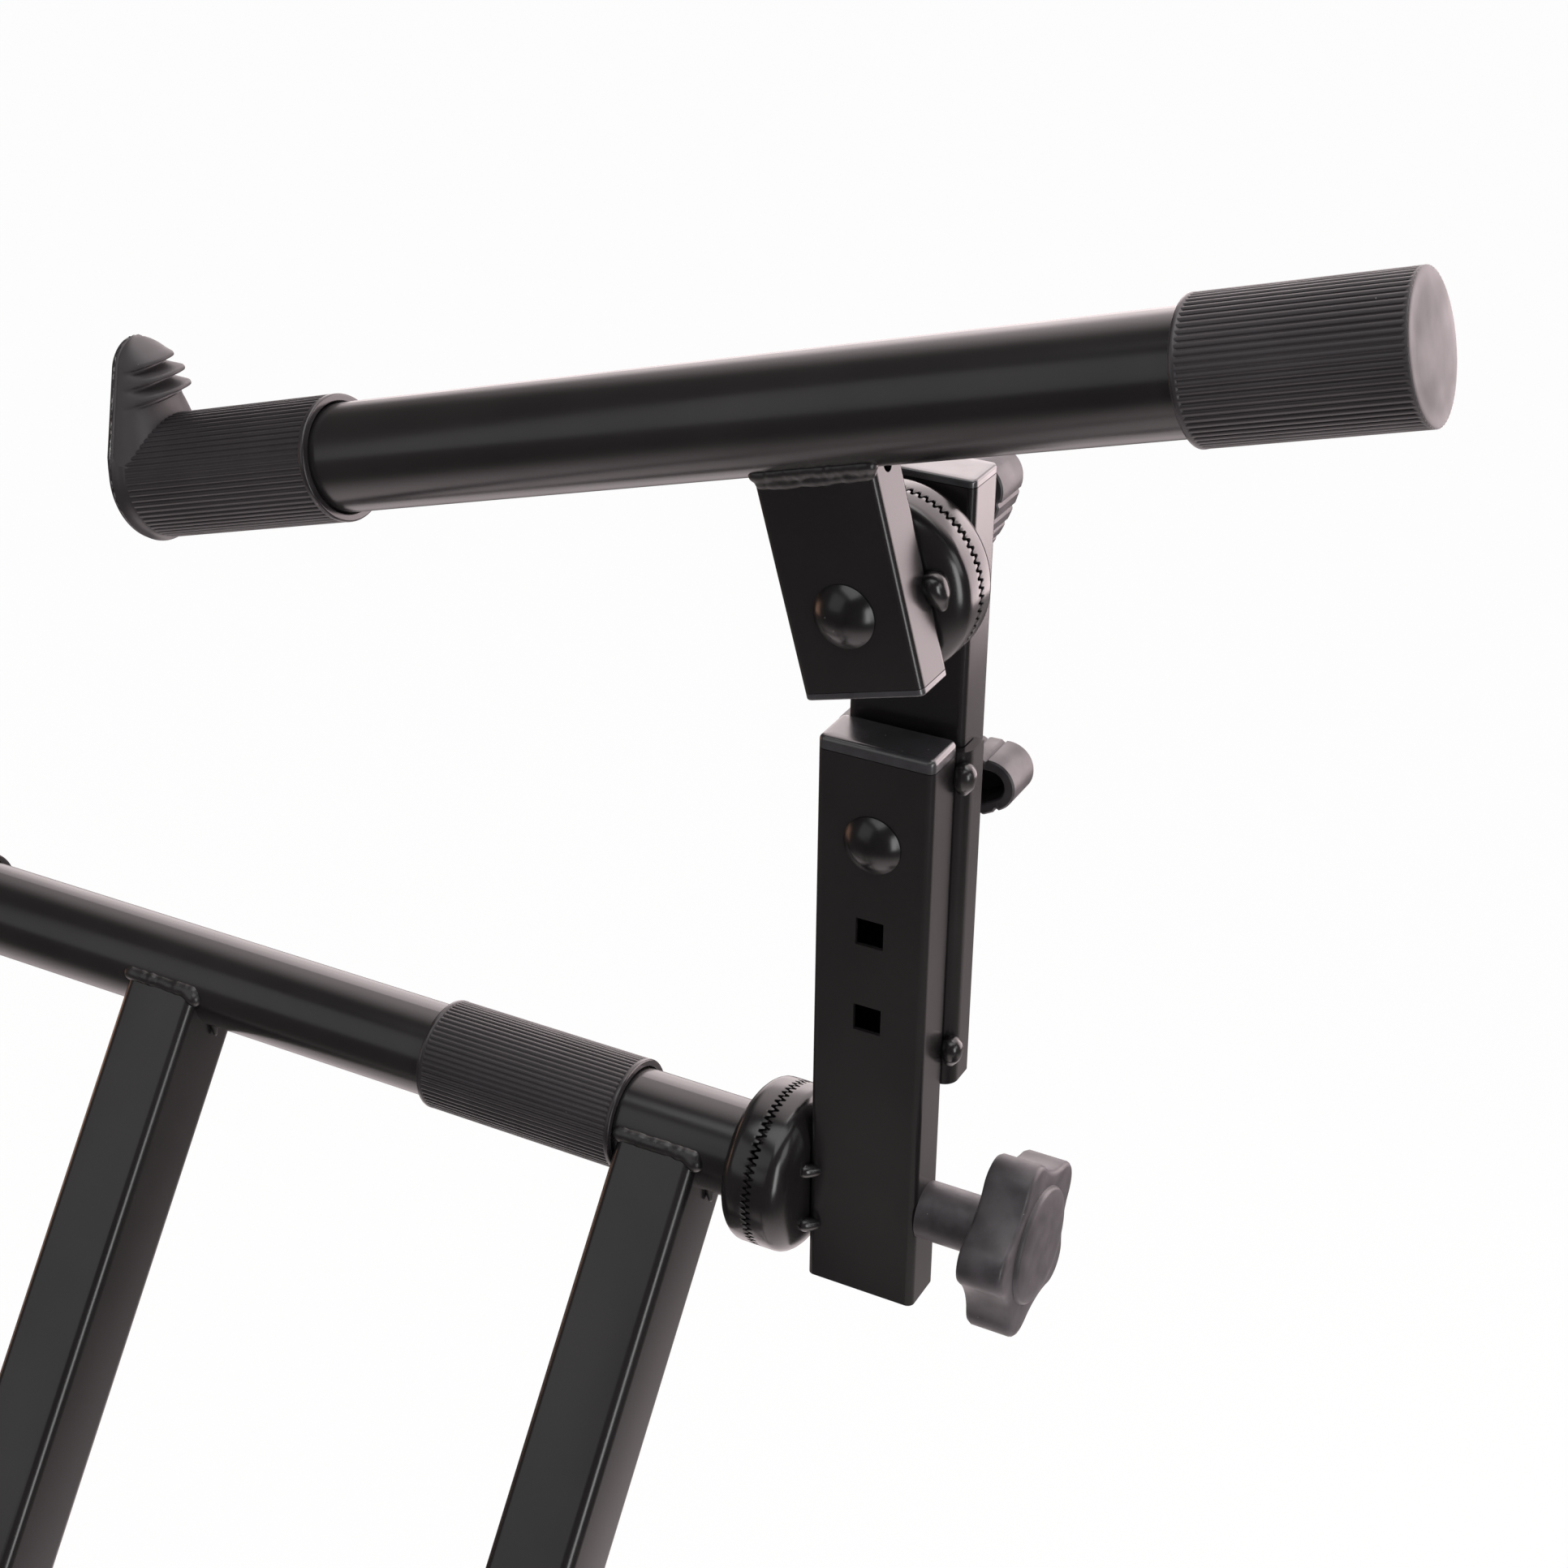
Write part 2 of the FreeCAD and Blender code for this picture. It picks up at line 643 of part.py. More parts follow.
# Clamping knobs of one tier
def knob_pieces(side):
    star = placed(star_knob(), turn(V(0, 0, 1), star_turn))
    star_seat = V(0, post_width / 2 + spacer_length + turn_clear, 0)
    wing = placed(placed(t_knob(), turn(V(0, 0, 1), 90)), turn(V(0, 1, 0), -90))
    across = V(1, 0, 0)
    return {
        side + "_swivel_knob": placed(star, turn(across, -90), star_seat),
        side + "_height_knob": placed(wing, turn(across, height_knob_turn), V(knob_seat, 0, bolt_height)),
        side + "_tilt_knob": placed(wing, turn(across, tilt_knob_turn), V(knob_seat, 0, tilt_axis_height)),
    }


# Middle of the whole stand from front to back, between the lower lips and the arms' rear caps
def middle_y():
    tilt = math.radians(arm_tilt)
    rear = (arm_length - arm_front + end_plate - end_round) * math.cos(tilt)
    rear += end_round - (arm_rise - cap_radius + end_round) * math.sin(tilt)
    return (tube_front - lip_thickness + rear) / 2


def left_side():
    cups = clutch_pair()
    pieces = frame_pieces("left", "outer", outer_front_leg, outer_rear_leg, cups)
    pieces["outer_lock_cup"], pieces["inner_lock_cup"] = lock_cups(cups)
    pieces["pivot_bolts"] = pivot_bolts()
    pieces["lock_knob"] = lock_knob()
    for group in (post_pieces("left", cups), inner_post_pieces("left", cups), arm_pieces("left", cups)):
        pieces.update(group)
    pieces.update(knob_pieces("left"))
    return pieces


def right_side():
    cups = clutch_pair()
    pieces = frame_pieces("right", "inner", inner_front_leg, inner_rear_leg, cups)
    for group in (post_pieces("right", cups), inner_post_pieces("right", cups), arm_pieces("right", cups)):
        pieces.update(group)
    pieces.update(knob_pieces("right"))
    return {name: mirrored(shape) for name, shape in pieces.items()}


os.makedirs("parts", exist_ok=True)
left_origin = V(-half_spread, -middle_y(), axis_height)
right_origin = V(half_spread, -middle_y(), axis_height)
for pieces, origin in ((left_side(), left_origin), (right_side(), right_origin)):
    for name, shape in pieces.items():
        shape.translate(origin)
        shape.exportStep("parts/" + name + ".step")
        print(name, len(shape.Solids), shape.isValid(), round(shape.Volume), "mm3")
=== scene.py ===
import json
import math
import random
import bmesh
import bpy
from mathutils import Matrix, Vector


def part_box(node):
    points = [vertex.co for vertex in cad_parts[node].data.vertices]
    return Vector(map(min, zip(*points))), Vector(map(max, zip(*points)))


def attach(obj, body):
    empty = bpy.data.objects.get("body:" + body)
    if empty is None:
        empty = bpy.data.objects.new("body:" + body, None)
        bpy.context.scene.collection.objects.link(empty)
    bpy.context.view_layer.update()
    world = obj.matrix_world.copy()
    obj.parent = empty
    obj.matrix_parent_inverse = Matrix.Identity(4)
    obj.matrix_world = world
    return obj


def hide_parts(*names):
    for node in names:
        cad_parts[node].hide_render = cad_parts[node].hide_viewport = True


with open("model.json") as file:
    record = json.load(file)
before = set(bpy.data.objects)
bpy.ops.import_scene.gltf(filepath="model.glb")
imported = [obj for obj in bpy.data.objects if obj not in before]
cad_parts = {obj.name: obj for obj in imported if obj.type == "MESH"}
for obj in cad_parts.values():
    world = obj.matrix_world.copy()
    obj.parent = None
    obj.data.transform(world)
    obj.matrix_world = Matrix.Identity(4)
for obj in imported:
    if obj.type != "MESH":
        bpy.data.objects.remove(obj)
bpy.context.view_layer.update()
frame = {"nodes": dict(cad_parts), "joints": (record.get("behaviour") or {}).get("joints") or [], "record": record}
nodes = frame["nodes"]
mm = 0.001
print("frame loaded:", len(nodes), "nodes")


# places: each tier has its own frame in millimetres, X to the stand's middle, Y to the rear, Z up
def boxMiddle(node):
    low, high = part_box(node)
    return (Vector(low) + Vector(high)) / 2


stand = {
    "armTilt": 15.4,  # degrees, rear end up
    "armRise": 59.5,  # tilt bolt to arm tube axis
    "armFront": 253.6,  # tilt bolt to the arm tube's front end
    "armLength": 429.0,
    "tubeRadius": 17.5,
    "capRadius": 20.5,
    "postWidth": 40.0,
    "postDepth": 18.0,
    "legSide": 32.0,
    "legAngle": 37.5,
}
sides = {"left": {"sign": 1, "name": "outer"}, "right": {"sign": -1, "name": "inner"}}
joints = {joint["name"]: joint for joint in frame["joints"]}


def sideScale(side):
    return Matrix.Diagonal((sides[side]["sign"] * mm, mm, mm, 1))


def tierFrame(side):
    tube = boxMiddle(sides[side]["name"] + "_top_tube")
    post = boxMiddle(side + "_outer_post")
    return Matrix.Translation((tube.x, post.y, tube.z)) @ sideScale(side)


def armFrame(side):
    pivot = Vector(joints[side + "_arm_tilt"]["pos_m"])
    arm = boxMiddle(side + "_arm_tube")
    tilt = Matrix.Rotation(math.radians(stand["armTilt"]), 4, "X")
    return Matrix.Translation((arm.x, pivot.y, pivot.z)) @ tilt @ sideScale(side)


def pieceName(side, node):
    return side + node.title().replace("_", "")


# camera: where the photograph was taken from, in the left tier's millimetres
view = {
    "eye": (653.2, 302.1, 543.4),
    "forward": (-0.7824, -0.4049, -0.4732),
    "right": (-0.4648, 0.8854, 0.0108),
    "lens": 59.98,
    "sensor": 36.0,
    "nearest": 0.02,  # metres, nothing closer is drawn
}


def addCamera():
    data = bpy.data.cameras.new("photoCamera")
    data.lens = view["lens"]
    data.sensor_width = view["sensor"]
    data.sensor_fit = "HORIZONTAL"
    data.clip_start = view["nearest"]
    camera = bpy.data.objects.new("photoCamera", data)
    bpy.context.scene.collection.objects.link(camera)
    forward = Vector(view["forward"]).normalized()
    right = Vector(view["right"])
    right = (right - forward * right.dot(forward)).normalized()
    up = right.cross(forward)
    turn = Matrix((right, up, -forward)).transposed().to_4x4()
    camera.matrix_world = Matrix.Translation(tierFrame("left") @ Vector(view["eye"])) @ turn
    bpy.context.scene.camera = camera


addCamera()
print("camera placed")


# node tools, for the world, the finishes and the repeats
def fill(tree, socket, value):
    if isinstance(value, bpy.types.NodeSocket):
        tree.links.new(value, socket)
    else:
        socket.default_value = value


def addNode(tree, kind, **values):
    node = tree.nodes.new(kind)
    for key, value in values.items():
        if hasattr(node, key):
            setattr(node, key, value)
        else:
            fill(tree, node.inputs[key.replace("_", " ")], value)
    return node


def rangeOf(tree, value, low, high, toLow, toHigh, soft=False):
    node = addNode(tree, "ShaderNodeMapRange", interpolation_type="SMOOTHSTEP" if soft else "LINEAR",
                   Value=value, From_Min=low, From_Max=high, To_Min=toLow, To_Max=toHigh)
    return node.outputs["Result"]


def math2(tree, operation, first, second):
    node = addNode(tree, "ShaderNodeMath", operation=operation)
    fill(tree, node.inputs[0], first)
    fill(tree, node.inputs[1], second)
    return node.outputs[0]


def mixShaders(tree, share, first, second):
    mix = tree.nodes.new("ShaderNodeMixShader")
    for socket, value in zip(mix.inputs, (share, first.outputs[0], second.outputs[0])):
        tree.links.new(value, socket)
    return mix


# studio: white surround, soft lamps, pale floor
studio = {
    "surround": (1.0, 1.0, 1.0),
    "ambient": 0.35,
    "glossDark": 0.14,
    "glossBright": 2.2,
    "glossBelow": 1.4,
    "glossHigh": 2.6,
    "glossTint": (1.0, 0.88, 0.89),
    "brightWay": (-0.87, -0.44, 0.06),  # the white ground behind the stand
    "highWay": (-0.70, 0.0, 0.714),  # the white ceiling over it
    "brightRamp": (0.88, 0.98),  # from the edge of that white to its full strength
    "highRamp": (0.58, 0.94),
    "belowRamp": (-0.5, -0.9),
    "floorColor": (0.86, 0.86, 0.86),
    "floorSize": 14.0,
    "floorWhite": 0.97,
}
lamps = {
    "topSoftbox": {"place": (0.2, 0.3, 2.9), "target": (0.0, 0.0, 0.7), "size": (2.4, 2.0), "power": 34},
    "frontFill": {"place": (1.8, -1.2, 1.9), "target": (0.0, 0.0, 0.8), "size": (1.9, 1.9), "power": 8},
    "rearCard": {"place": (-1.32, 1.0, 1.02), "target": (-0.2, 0.5, 1.02), "size": (1.2, 1.16), "power": 20.0,
                 "color": (1.0, 0.84, 0.86)},
    "rearLow": {"place": (-1.32, 0.85, 0.18), "target": (-0.2, 0.4, 0.3), "size": (1.2, 0.5), "power": 0.6,
                "color": (1.0, 0.86, 0.88)},
    "edgeLight": {"place": (0.25, 2.4, 1.75), "target": (-0.25, 0.1, 0.9), "size": (0.9, 0.9), "power": 6},
    "sparkStrip": {"place": (0.85, 1.9, 0.95), "target": (-0.3, 0.2, 0.98), "size": (0.55, 1.3), "power": 13},
    "warmCard": {"place": (-0.5, -2.0, 0.55), "target": (-0.3, 0.1, 0.9), "size": (1.2, 0.8), "power": 4,
                 "color": (1.0, 0.55, 0.36)},
}


def addWorld():
    world = bpy.data.worlds.new("studioWorld")
    bpy.context.scene.world = world
    world.use_nodes = True
    tree = world.node_tree
    tree.nodes.clear()
    path = tree.nodes.new("ShaderNodeLightPath")
    toward = tree.nodes.new("ShaderNodeTexCoord").outputs["Generated"]
    turned = {}
    for way in ("brightWay", "highWay"):
        facing = addNode(tree, "ShaderNodeVectorMath", operation="DOT_PRODUCT")
        fill(tree, facing.inputs[0], toward)
        fill(tree, facing.inputs[1], Vector(studio[way]).normalized())
        turned[way] = facing.outputs["Value"]
    split = addNode(tree, "ShaderNodeSeparateXYZ", Vector=toward)
    behind = rangeOf(tree, turned["brightWay"], *studio["brightRamp"], 0, studio["glossBright"], soft=True)
    high = rangeOf(tree, turned["highWay"], *studio["highRamp"], 0, studio["glossHigh"], soft=True)
    below = rangeOf(tree, split.outputs["Z"], *studio["belowRamp"], 0, studio["glossBelow"], soft=True)
    strength = math2(tree, "ADD", math2(tree, "ADD", behind, high), below)
    strength = math2(tree, "ADD", strength, studio["glossDark"])
    white = (*studio["surround"], 1)
    ambient = addNode(tree, "ShaderNodeBackground", Color=white, Strength=studio["ambient"])
    gloss = addNode(tree, "ShaderNodeBackground", Color=(*studio["glossTint"], 1), Strength=strength)
    plain = addNode(tree, "ShaderNodeBackground", Color=white)
    mixed = mixShaders(tree, path.outputs["Is Glossy Ray"], ambient, gloss)
    mixed = mixShaders(tree, path.outputs["Is Camera Ray"], mixed, plain)
    addNode(tree, "ShaderNodeOutputWorld", Surface=mixed.outputs[0])


def addLamp(name, facts):
    data = bpy.data.lights.new(name, "AREA")
    data.shape = "RECTANGLE"
    data.size, data.size_y = facts["size"]
    data.energy = facts["power"]
    data.color = facts.get("color", (1, 1, 1))
    lamp = bpy.data.objects.new(name, data)
    lamp.location = facts["place"]
    aim = Vector(facts["target"]) - Vector(facts["place"])
    lamp.rotation_euler = aim.to_track_quat("-Z", "Y").to_euler()
    lamp.visible_camera = False
    bpy.context.scene.collection.objects.link(lamp)


def addFloor():
    half = studio["floorSize"] / 2
    mesh = bpy.data.meshes.new("studioFloor")
    corners = [(-half, -half, 0), (half, -half, 0), (half, half, 0), (-half, half, 0)]
    mesh.from_pydata(corners, [], [(0, 1, 2, 3)])
    floor = bpy.data.objects.new("studioFloor", mesh)
    bpy.context.scene.collection.objects.link(floor)
    material = bpy.data.materials.new("paleFloor")
    material.use_nodes = True
    tree = material.node_tree
    tree.nodes.clear()
    diffuse = addNode(tree, "ShaderNodeBsdfDiffuse", Color=(*studio["floorColor"], 1))
    glow = tree.nodes.new("ShaderNodeEmission")
    path = tree.nodes.new("ShaderNodeLightPath")
    share = math2(tree, "MULTIPLY", path.outputs["Is Camera Ray"], studio["floorWhite"])
    mix = mixShaders(tree, share, diffuse, glow)
    addNode(tree, "ShaderNodeOutputMaterial", Surface=mix.outputs[0])
    mesh.materials.append(material)
    floor.visible_glossy = False


addWorld()
addFloor()
for name, facts in lamps.items():
    addLamp(name, facts)
bpy.context.scene.view_settings.view_transform = "Standard"
print("studio lit")


# materials
def startMaterial(name):
    material = bpy.data.materials.new(name)
    material.use_nodes = True
    tree = material.node_tree
    return material, tree, tree.nodes["Principled BSDF"]


def objectCoords(tree):
    return tree.nodes.new("ShaderNodeTexCoord").outputs["Object"]


def noiseOn(tree, coords, scale, detail=2.0):
    return addNode(tree, "ShaderNodeTexNoise", Vector=coords, Scale=scale, Detail=detail).outputs["Fac"]


def mixColor(tree, share, first, second):
    node = addNode(tree, "ShaderNodeMix", data_type="RGBA")
    fill(tree, node.inputs[0], share)
    for socket, value in ((node.inputs[6], first), (node.inputs[7], second)):
        fill(tree, socket, (*value, 1) if isinstance(value, tuple) else value)
    return node.outputs[2]


def specksOn(tree, coords, scale, size, rarity):
    cells = addNode(tree, "ShaderNodeTexVoronoi", Vector=coords, Scale=scale)
    near = math2(tree, "LESS_THAN", cells.outputs["Distance"], size)
    split = addNode(tree, "ShaderNodeSeparateColor", Color=cells.outputs["Color"])
    chosen = math2(tree, "GREATER_THAN", split.outputs[0], rarity)
    return math2(tree, "MULTIPLY", near, chosen)


def bumpFrom(tree, height, strength, distance):
    bump = addNode(tree, "ShaderNodeBump", Strength=strength, Distance=distance, Height=height)
    return bump.outputs["Normal"]


windows = {  # where each noise begins to show and where it shows in full
    "cloud": (0.35, 0.65), "wear": (0.3, 0.7), "scuff": (0.5, 0.6), "rubbed": (0.85, 1),
}


def blackFinish(name, look):
    material, tree, shader = startMaterial(name)
    coords = objectCoords(tree)
    cloud = noiseOn(tree, coords, look["cloudScale"], 4.0)
    color = mixColor(tree, rangeOf(tree, cloud, *windows["cloud"], 0, 1), look["dark"], look["pale"])
    specks = specksOn(tree, coords, look["speckScale"], look["speckSize"], look["speckRarity"])
    color = mixColor(tree, math2(tree, "MULTIPLY", specks, look["speckShow"]), color, look["dust"])
    worn = noiseOn(tree, coords, look["wearScale"], 3.0)
    rough = rangeOf(tree, worn, *windows["wear"], *look["rough"])
    if "polish" in look:
        rubbed = addNode(tree, "ShaderNodeAttribute", attribute_name="polish").outputs["Fac"]
        factor = rangeOf(tree, rubbed, -1, 1, 2 - look["polish"], look["polish"])
        rough = math2(tree, "MULTIPLY", rough, factor)
        # painted light: where polish is below zero, the colour is mixed toward a paler tone
        color = mixColor(tree, rangeOf(tree, rubbed, 0, -1, 0, 1), color, look["paintedLightTone"])
        scuffs = noiseOn(tree, coords, look["scuffScale"])
        scuffs = rangeOf(tree, scuffs, *windows["scuff"], 0, look["scuffShow"])
        scuffs = math2(tree, "MULTIPLY", scuffs, rangeOf(tree, rubbed, *windows["rubbed"], 0, 1))
        color = mixColor(tree, scuffs, color, look["dust"])
    tree.links.new(color, shader.inputs["Base Color"])
    tree.links.new(rough, shader.inputs["Roughness"])
    grain = noiseOn(tree, coords, look["grainScale"], 3.0)
    tree.links.new(bumpFrom(tree, grain, look["grainBump"], look["grainDepth"]), shader.inputs["Normal"])
    shader.inputs["Specular IOR Level"].default_value = look["specular"]
    if "sheen" in look:
        shader.inputs["Sheen Weight"].default_value = look["sheen"]
        shader.inputs["Sheen Roughness"].default_value = look["sheenRough"]
    return material


finishes = {
    "coat": {
        "dark": (0.0075, 0.0068, 0.0068), "pale": (0.0125, 0.0112, 0.0112), "dust": (0.42, 0.39, 0.38),
        "cloudScale": 14, "wearScale": 30, "rough": (0.21, 0.26), "grainScale": 900, "grainBump": 0.01,
        "grainDepth": 0.00015, "speckScale": 150, "speckSize": 0.04, "speckRarity": 0.985, "speckShow": 0.4,
        "specular": 0.5,
    },
    "bolt": {
        "dark": (0.004, 0.0038, 0.0038), "pale": (0.007, 0.0065, 0.0065), "dust": (0.5, 0.48, 0.47),
        "cloudScale": 60, "wearScale": 120, "rough": (0.2, 0.27), "grainScale": 500, "grainBump": 0.03,
        "grainDepth": 0.0003, "speckScale": 420, "speckSize": 0.06, "speckRarity": 0.9, "speckShow": 0.5,
        "specular": 0.45,
    },
    "rubber": {
        "dark": (0.0125, 0.0106, 0.0119), "pale": (0.0225, 0.0193, 0.0217), "dust": (0.3, 0.28, 0.28),
        "cloudScale": 22, "wearScale": 70, "rough": (0.36, 0.46), "grainScale": 1400, "grainBump": 0.03,
        "grainDepth": 0.00012, "speckScale": 300, "speckSize": 0.06, "speckRarity": 0.94, "speckShow": 0.5,
        "specular": 0.5, "sheen": 0.06, "sheenRough": 0.4, "scuffScale": 420, "scuffShow": 0.55,
        "paintedLightTone": (0.05, 0.045, 0.0465), "polish": 0.45,  # rims shine; the paler tone is painted light on the lips and the caps' ends
    },
    "plastic": {
        "dark": (0.026, 0.0230, 0.0257), "pale": (0.050, 0.0443, 0.0494), "dust": (0.36, 0.34, 0.34),
        "cloudScale": 130, "wearScale": 90, "rough": (0.38, 0.52), "grainScale": 900, "grainBump": 0.06,
        "grainDepth": 0.00018, "speckScale": 420, "speckSize": 0.08, "speckRarity": 0.86, "speckShow": 0.45,
        "specular": 0.5,
    },
}
coat = blackFinish("satinCoat", finishes["coat"])
capGloss = blackFinish("capPlastic", {
    **finishes["plastic"], "dark": (0.024, 0.0232, 0.0255), "pale": (0.036, 0.035, 0.0385),
    "rough": (0.2, 0.28), "grainBump": 0.04, "specular": 0.9,
})
cupCoat = blackFinish("glossCoat", {**finishes["coat"], "rough": (0.18, 0.23)})
boltBlack = blackFinish("glossBolt", finishes["bolt"])
rubber = blackFinish("ribbedRubber", finishes["rubber"])
plastic = blackFinish("mouldedPlastic", finishes["plastic"])
slotMaterials = {
    "black_coat": coat, "black_bolt": boltBlack, "black_rubber": rubber, "black_plastic": plastic,
}
nodeSlots = {part["node"]: part["material_slot"] for part in frame["record"]["subparts"]}
for name, thing in nodes.items():
    thing.data.materials.clear()
    thing.data.materials.append(slotMaterials[nodeSlots[name]])
print("finishes set")


# mesh tools: shapes are made in millimetres at their own origin, then moved to their place
samePoint = 0.002 * mm  # points nearer than this become one


def ringMesh(name, rings, ends=(True, True)):
    count = len(rings[0])
    faces = []
    for i in range(len(rings) - 1):
        for k in range(count):
            near, far = i * count + k, i * count + (k + 1) % count
            faces.append((near, far, far + count, near + count))
    last = (len(rings) - 1) * count
    if ends[0]:
        faces.append(tuple(reversed(range(count))))
    if ends[1]:
        faces.append(tuple(range(last, last + count)))
    mesh = bpy.data.meshes.new(name)
    mesh.from_pydata([point for ring in rings for point in ring], [], faces)
    return mesh


def circle(radius, height, count=128):
    turns = [2 * math.pi * i / count for i in range(count)]
    return [Vector((radius * math.cos(a), radius * math.sin(a), height)) for a in turns]


def softCorners(corners, steps=6):
    path = []
    for i, (x, y, soft) in enumerate(corners):
        here = Vector((x, y))
        if soft <= 0 or i in (0, len(corners) - 1):
            path.append(here)
            continue
        before = Vector(corners[i - 1][:2]) - here
        after = Vector(corners[i + 1][:2]) - here
        start = here + before.normalized() * min(soft, before.length / 2)
        stop = here + after.normalized() * min(soft, after.length / 2)
        for k in range(steps + 1):
            t = k / steps
            path.append(start * (1 - t) ** 2 + here * 2 * t * (1 - t) + stop * t ** 2)
    return path


def lathe(name, corners, ends=(True, True), count=128):
    return ringMesh(name, [circle(point.x, point.y, count) for point in softCorners(corners)], ends)


def joined(name, meshes):
    work = bmesh.new()
    for mesh in meshes:
        work.from_mesh(mesh)
        bpy.data.meshes.remove(mesh)
    whole = bpy.data.meshes.new(name)
    work.to_mesh(whole)
    work.free()
    return whole


def settle(name, mesh, place, slotName, body, replaced=(), material=None, crease=38):
    mesh.transform(place)
    work = bmesh.new()
    work.from_mesh(mesh)
    bmesh.ops.remove_doubles(work, verts=work.verts, dist=samePoint)
    bmesh.ops.recalc_face_normals(work, faces=work.faces)
    work.to_mesh(mesh)
    work.free()
    mesh.shade_smooth()
    mesh.set_sharp_from_angle(angle=math.radians(crease))
    mesh.materials.clear()
    mesh.materials.append(material or slotMaterials[slotName])
    thing = bpy.data.objects.new(name, mesh)
    bpy.context.scene.collection.objects.link(thing)
    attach(thing, body)
    if replaced:
        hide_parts(*replaced)
    return thing


# polish per point: above zero glossier, below zero rougher and painted paler, which is painted light
def shine(mesh, amount):
    layer = mesh.attributes.new("polish", "FLOAT", "POINT")
    for item, vertex in zip(layer.data, mesh.vertices):
        item.value = amount(vertex.co)


def spin(axis, degrees):
    return Matrix.Rotation(math.radians(degrees), 4, axis)


def shift(x, y, z):
    return Matrix.Translation((x, y, z))


# trees for what repeats
def newTree(name, inputs):
    tree = bpy.data.node_groups.new(name, "GeometryNodeTree")
    tree.interface.new_socket("Geometry", in_out="INPUT", socket_type="NodeSocketGeometry")
    for label, kind in inputs:
        tree.interface.new_socket(label, in_out="INPUT", socket_type="NodeSocket" + kind)
    tree.interface.new_socket("Geometry", in_out="OUTPUT", socket_type="NodeSocketGeometry")
    return tree, tree.nodes.new("NodeGroupInput"), tree.nodes.new("NodeGroupOutput")


def closeTree(tree, given, out, geometry, mergeAt=None):
    whole = tree.nodes.new("GeometryNodeRealizeInstances")
    tree.links.new(geometry, whole.inputs[0])
    if mergeAt:
        whole = addNode(tree, "GeometryNodeMergeByDistance", Geometry=whole.outputs[0], Distance=mergeAt)
    paint = addNode(tree, "GeometryNodeSetMaterial", Geometry=whole.outputs[0],
                    Material=given.outputs["Finish"])
    tree.links.new(paint.outputs[0], out.inputs["Geometry"])
    return tree


def grown(mesh, tree, values):
    thing = bpy.data.objects.new("grown", mesh)
    bpy.context.scene.collection.objects.link(thing)
    modifier = thing.modifiers.new("grow", "NODES")
    modifier.node_group = tree
    for item in tree.interface.items_tree:
        if item.item_type == "SOCKET" and item.in_out == "INPUT" and item.name in values:
            modifier[item.identifier] = values[item.name]
    graph = bpy.context.evaluated_depsgraph_get()
    made = bpy.data.meshes.new_from_object(thing.evaluated_get(graph))
    thing.modifiers.remove(modifier)
    bpy.data.objects.remove(thing)
    return made


def ribTree():
    tree, given, out = newTree("sleeveRibs", [
        ("Rib Count", "Int"), ("Ring Radius", "Float"), ("Rib Start", "Float"), ("Rib End", "Float"),
        ("Rib Width", "Float"), ("Rib Height", "Float"), ("Finish", "Material"),
    ])
    want = given.outputs
    ring = addNode(tree, "GeometryNodeMeshCircle", Vertices=want["Rib Count"], Radius=want["Ring Radius"])
    start = addNode(tree, "ShaderNodeCombineXYZ", Z=want["Rib Start"])
    stop = addNode(tree, "ShaderNodeCombineXYZ", Z=want["Rib End"])
    line = addNode(tree, "GeometryNodeCurvePrimitiveLine", Start=start.outputs[0], End=stop.outputs[0])
    steps = addNode(tree, "GeometryNodeResampleCurve", Count=12, Curve=line.outputs["Curve"])
    along = tree.nodes.new("GeometryNodeSplineParameter")
    centred = math2(tree, "PINGPONG", along.outputs["Factor"], 0.5)
    taper = rangeOf(tree, centred, 0, sleeve["ribTaper"], sleeve["ribTip"], 1)
    thin = addNode(tree, "GeometryNodeSetCurveRadius", Curve=steps.outputs["Curve"], Radius=taper)
    round_ = addNode(tree, "GeometryNodeCurvePrimitiveCircle", Resolution=10, Radius=0.5)
    size = addNode(tree, "ShaderNodeCombineXYZ", X=want["Rib Height"], Y=want["Rib Width"], Z=1.0)
    oval = addNode(tree, "GeometryNodeTransform", Geometry=round_.outputs["Curve"], Scale=size.outputs[0])
    rib = addNode(tree, "GeometryNodeCurveToMesh", Fill_Caps=True, Curve=thin.outputs["Curve"],
                  Profile_Curve=oval.outputs["Geometry"])
    place = tree.nodes.new("GeometryNodeInputPosition")
    facing = addNode(tree, "FunctionNodeAlignRotationToVector", axis="X", pivot_axis="Z",
                     Vector=place.outputs[0])
    copies = addNode(tree, "GeometryNodeInstanceOnPoints", Points=ring.outputs["Mesh"],
                     Instance=rib.outputs["Mesh"], Rotation=facing.outputs["Rotation"])
    whole = tree.nodes.new("GeometryNodeJoinGeometry")
    tree.links.new(copies.outputs["Instances"], whole.inputs[0])
    tree.links.new(want["Geometry"], whole.inputs[0])
    return closeTree(tree, given, out, whole.outputs[0])


# ribbed sleeves: open mouth at height 0, the other end open, closed or run into a plate
sleeve = {
    "length": 81.0,
    "body": 19.95,  # radius between the ribs
    "rim": 1.7,
    "rimSoft": 0.9,
    "rimSlope": 0.7,
    "mouth": 17.95,
    "mouthDepth": 6.0,
    "mouthStep": 0.8,
    "bore": 17.53,
    "ribCount": 63,
    "ribWidth": 1.55,
    "ribHeight": 0.95,
    "ribTaper": 0.03,  # share of the length over which a rib thins out
    "ribTip": 0.35,
    "rimPolish": 0.84,
    # below zero, polish also paints a paler colour: painted light on the closed end's edge and face
    "edgePolish": -0.5,
    "endPolish": -0.9,
    "polishDepth": 1.2,
    "endSoft": 1.9,
    "collar": 4.6,  # smooth band next to a lip's plate
}
ribNodes = ribTree()


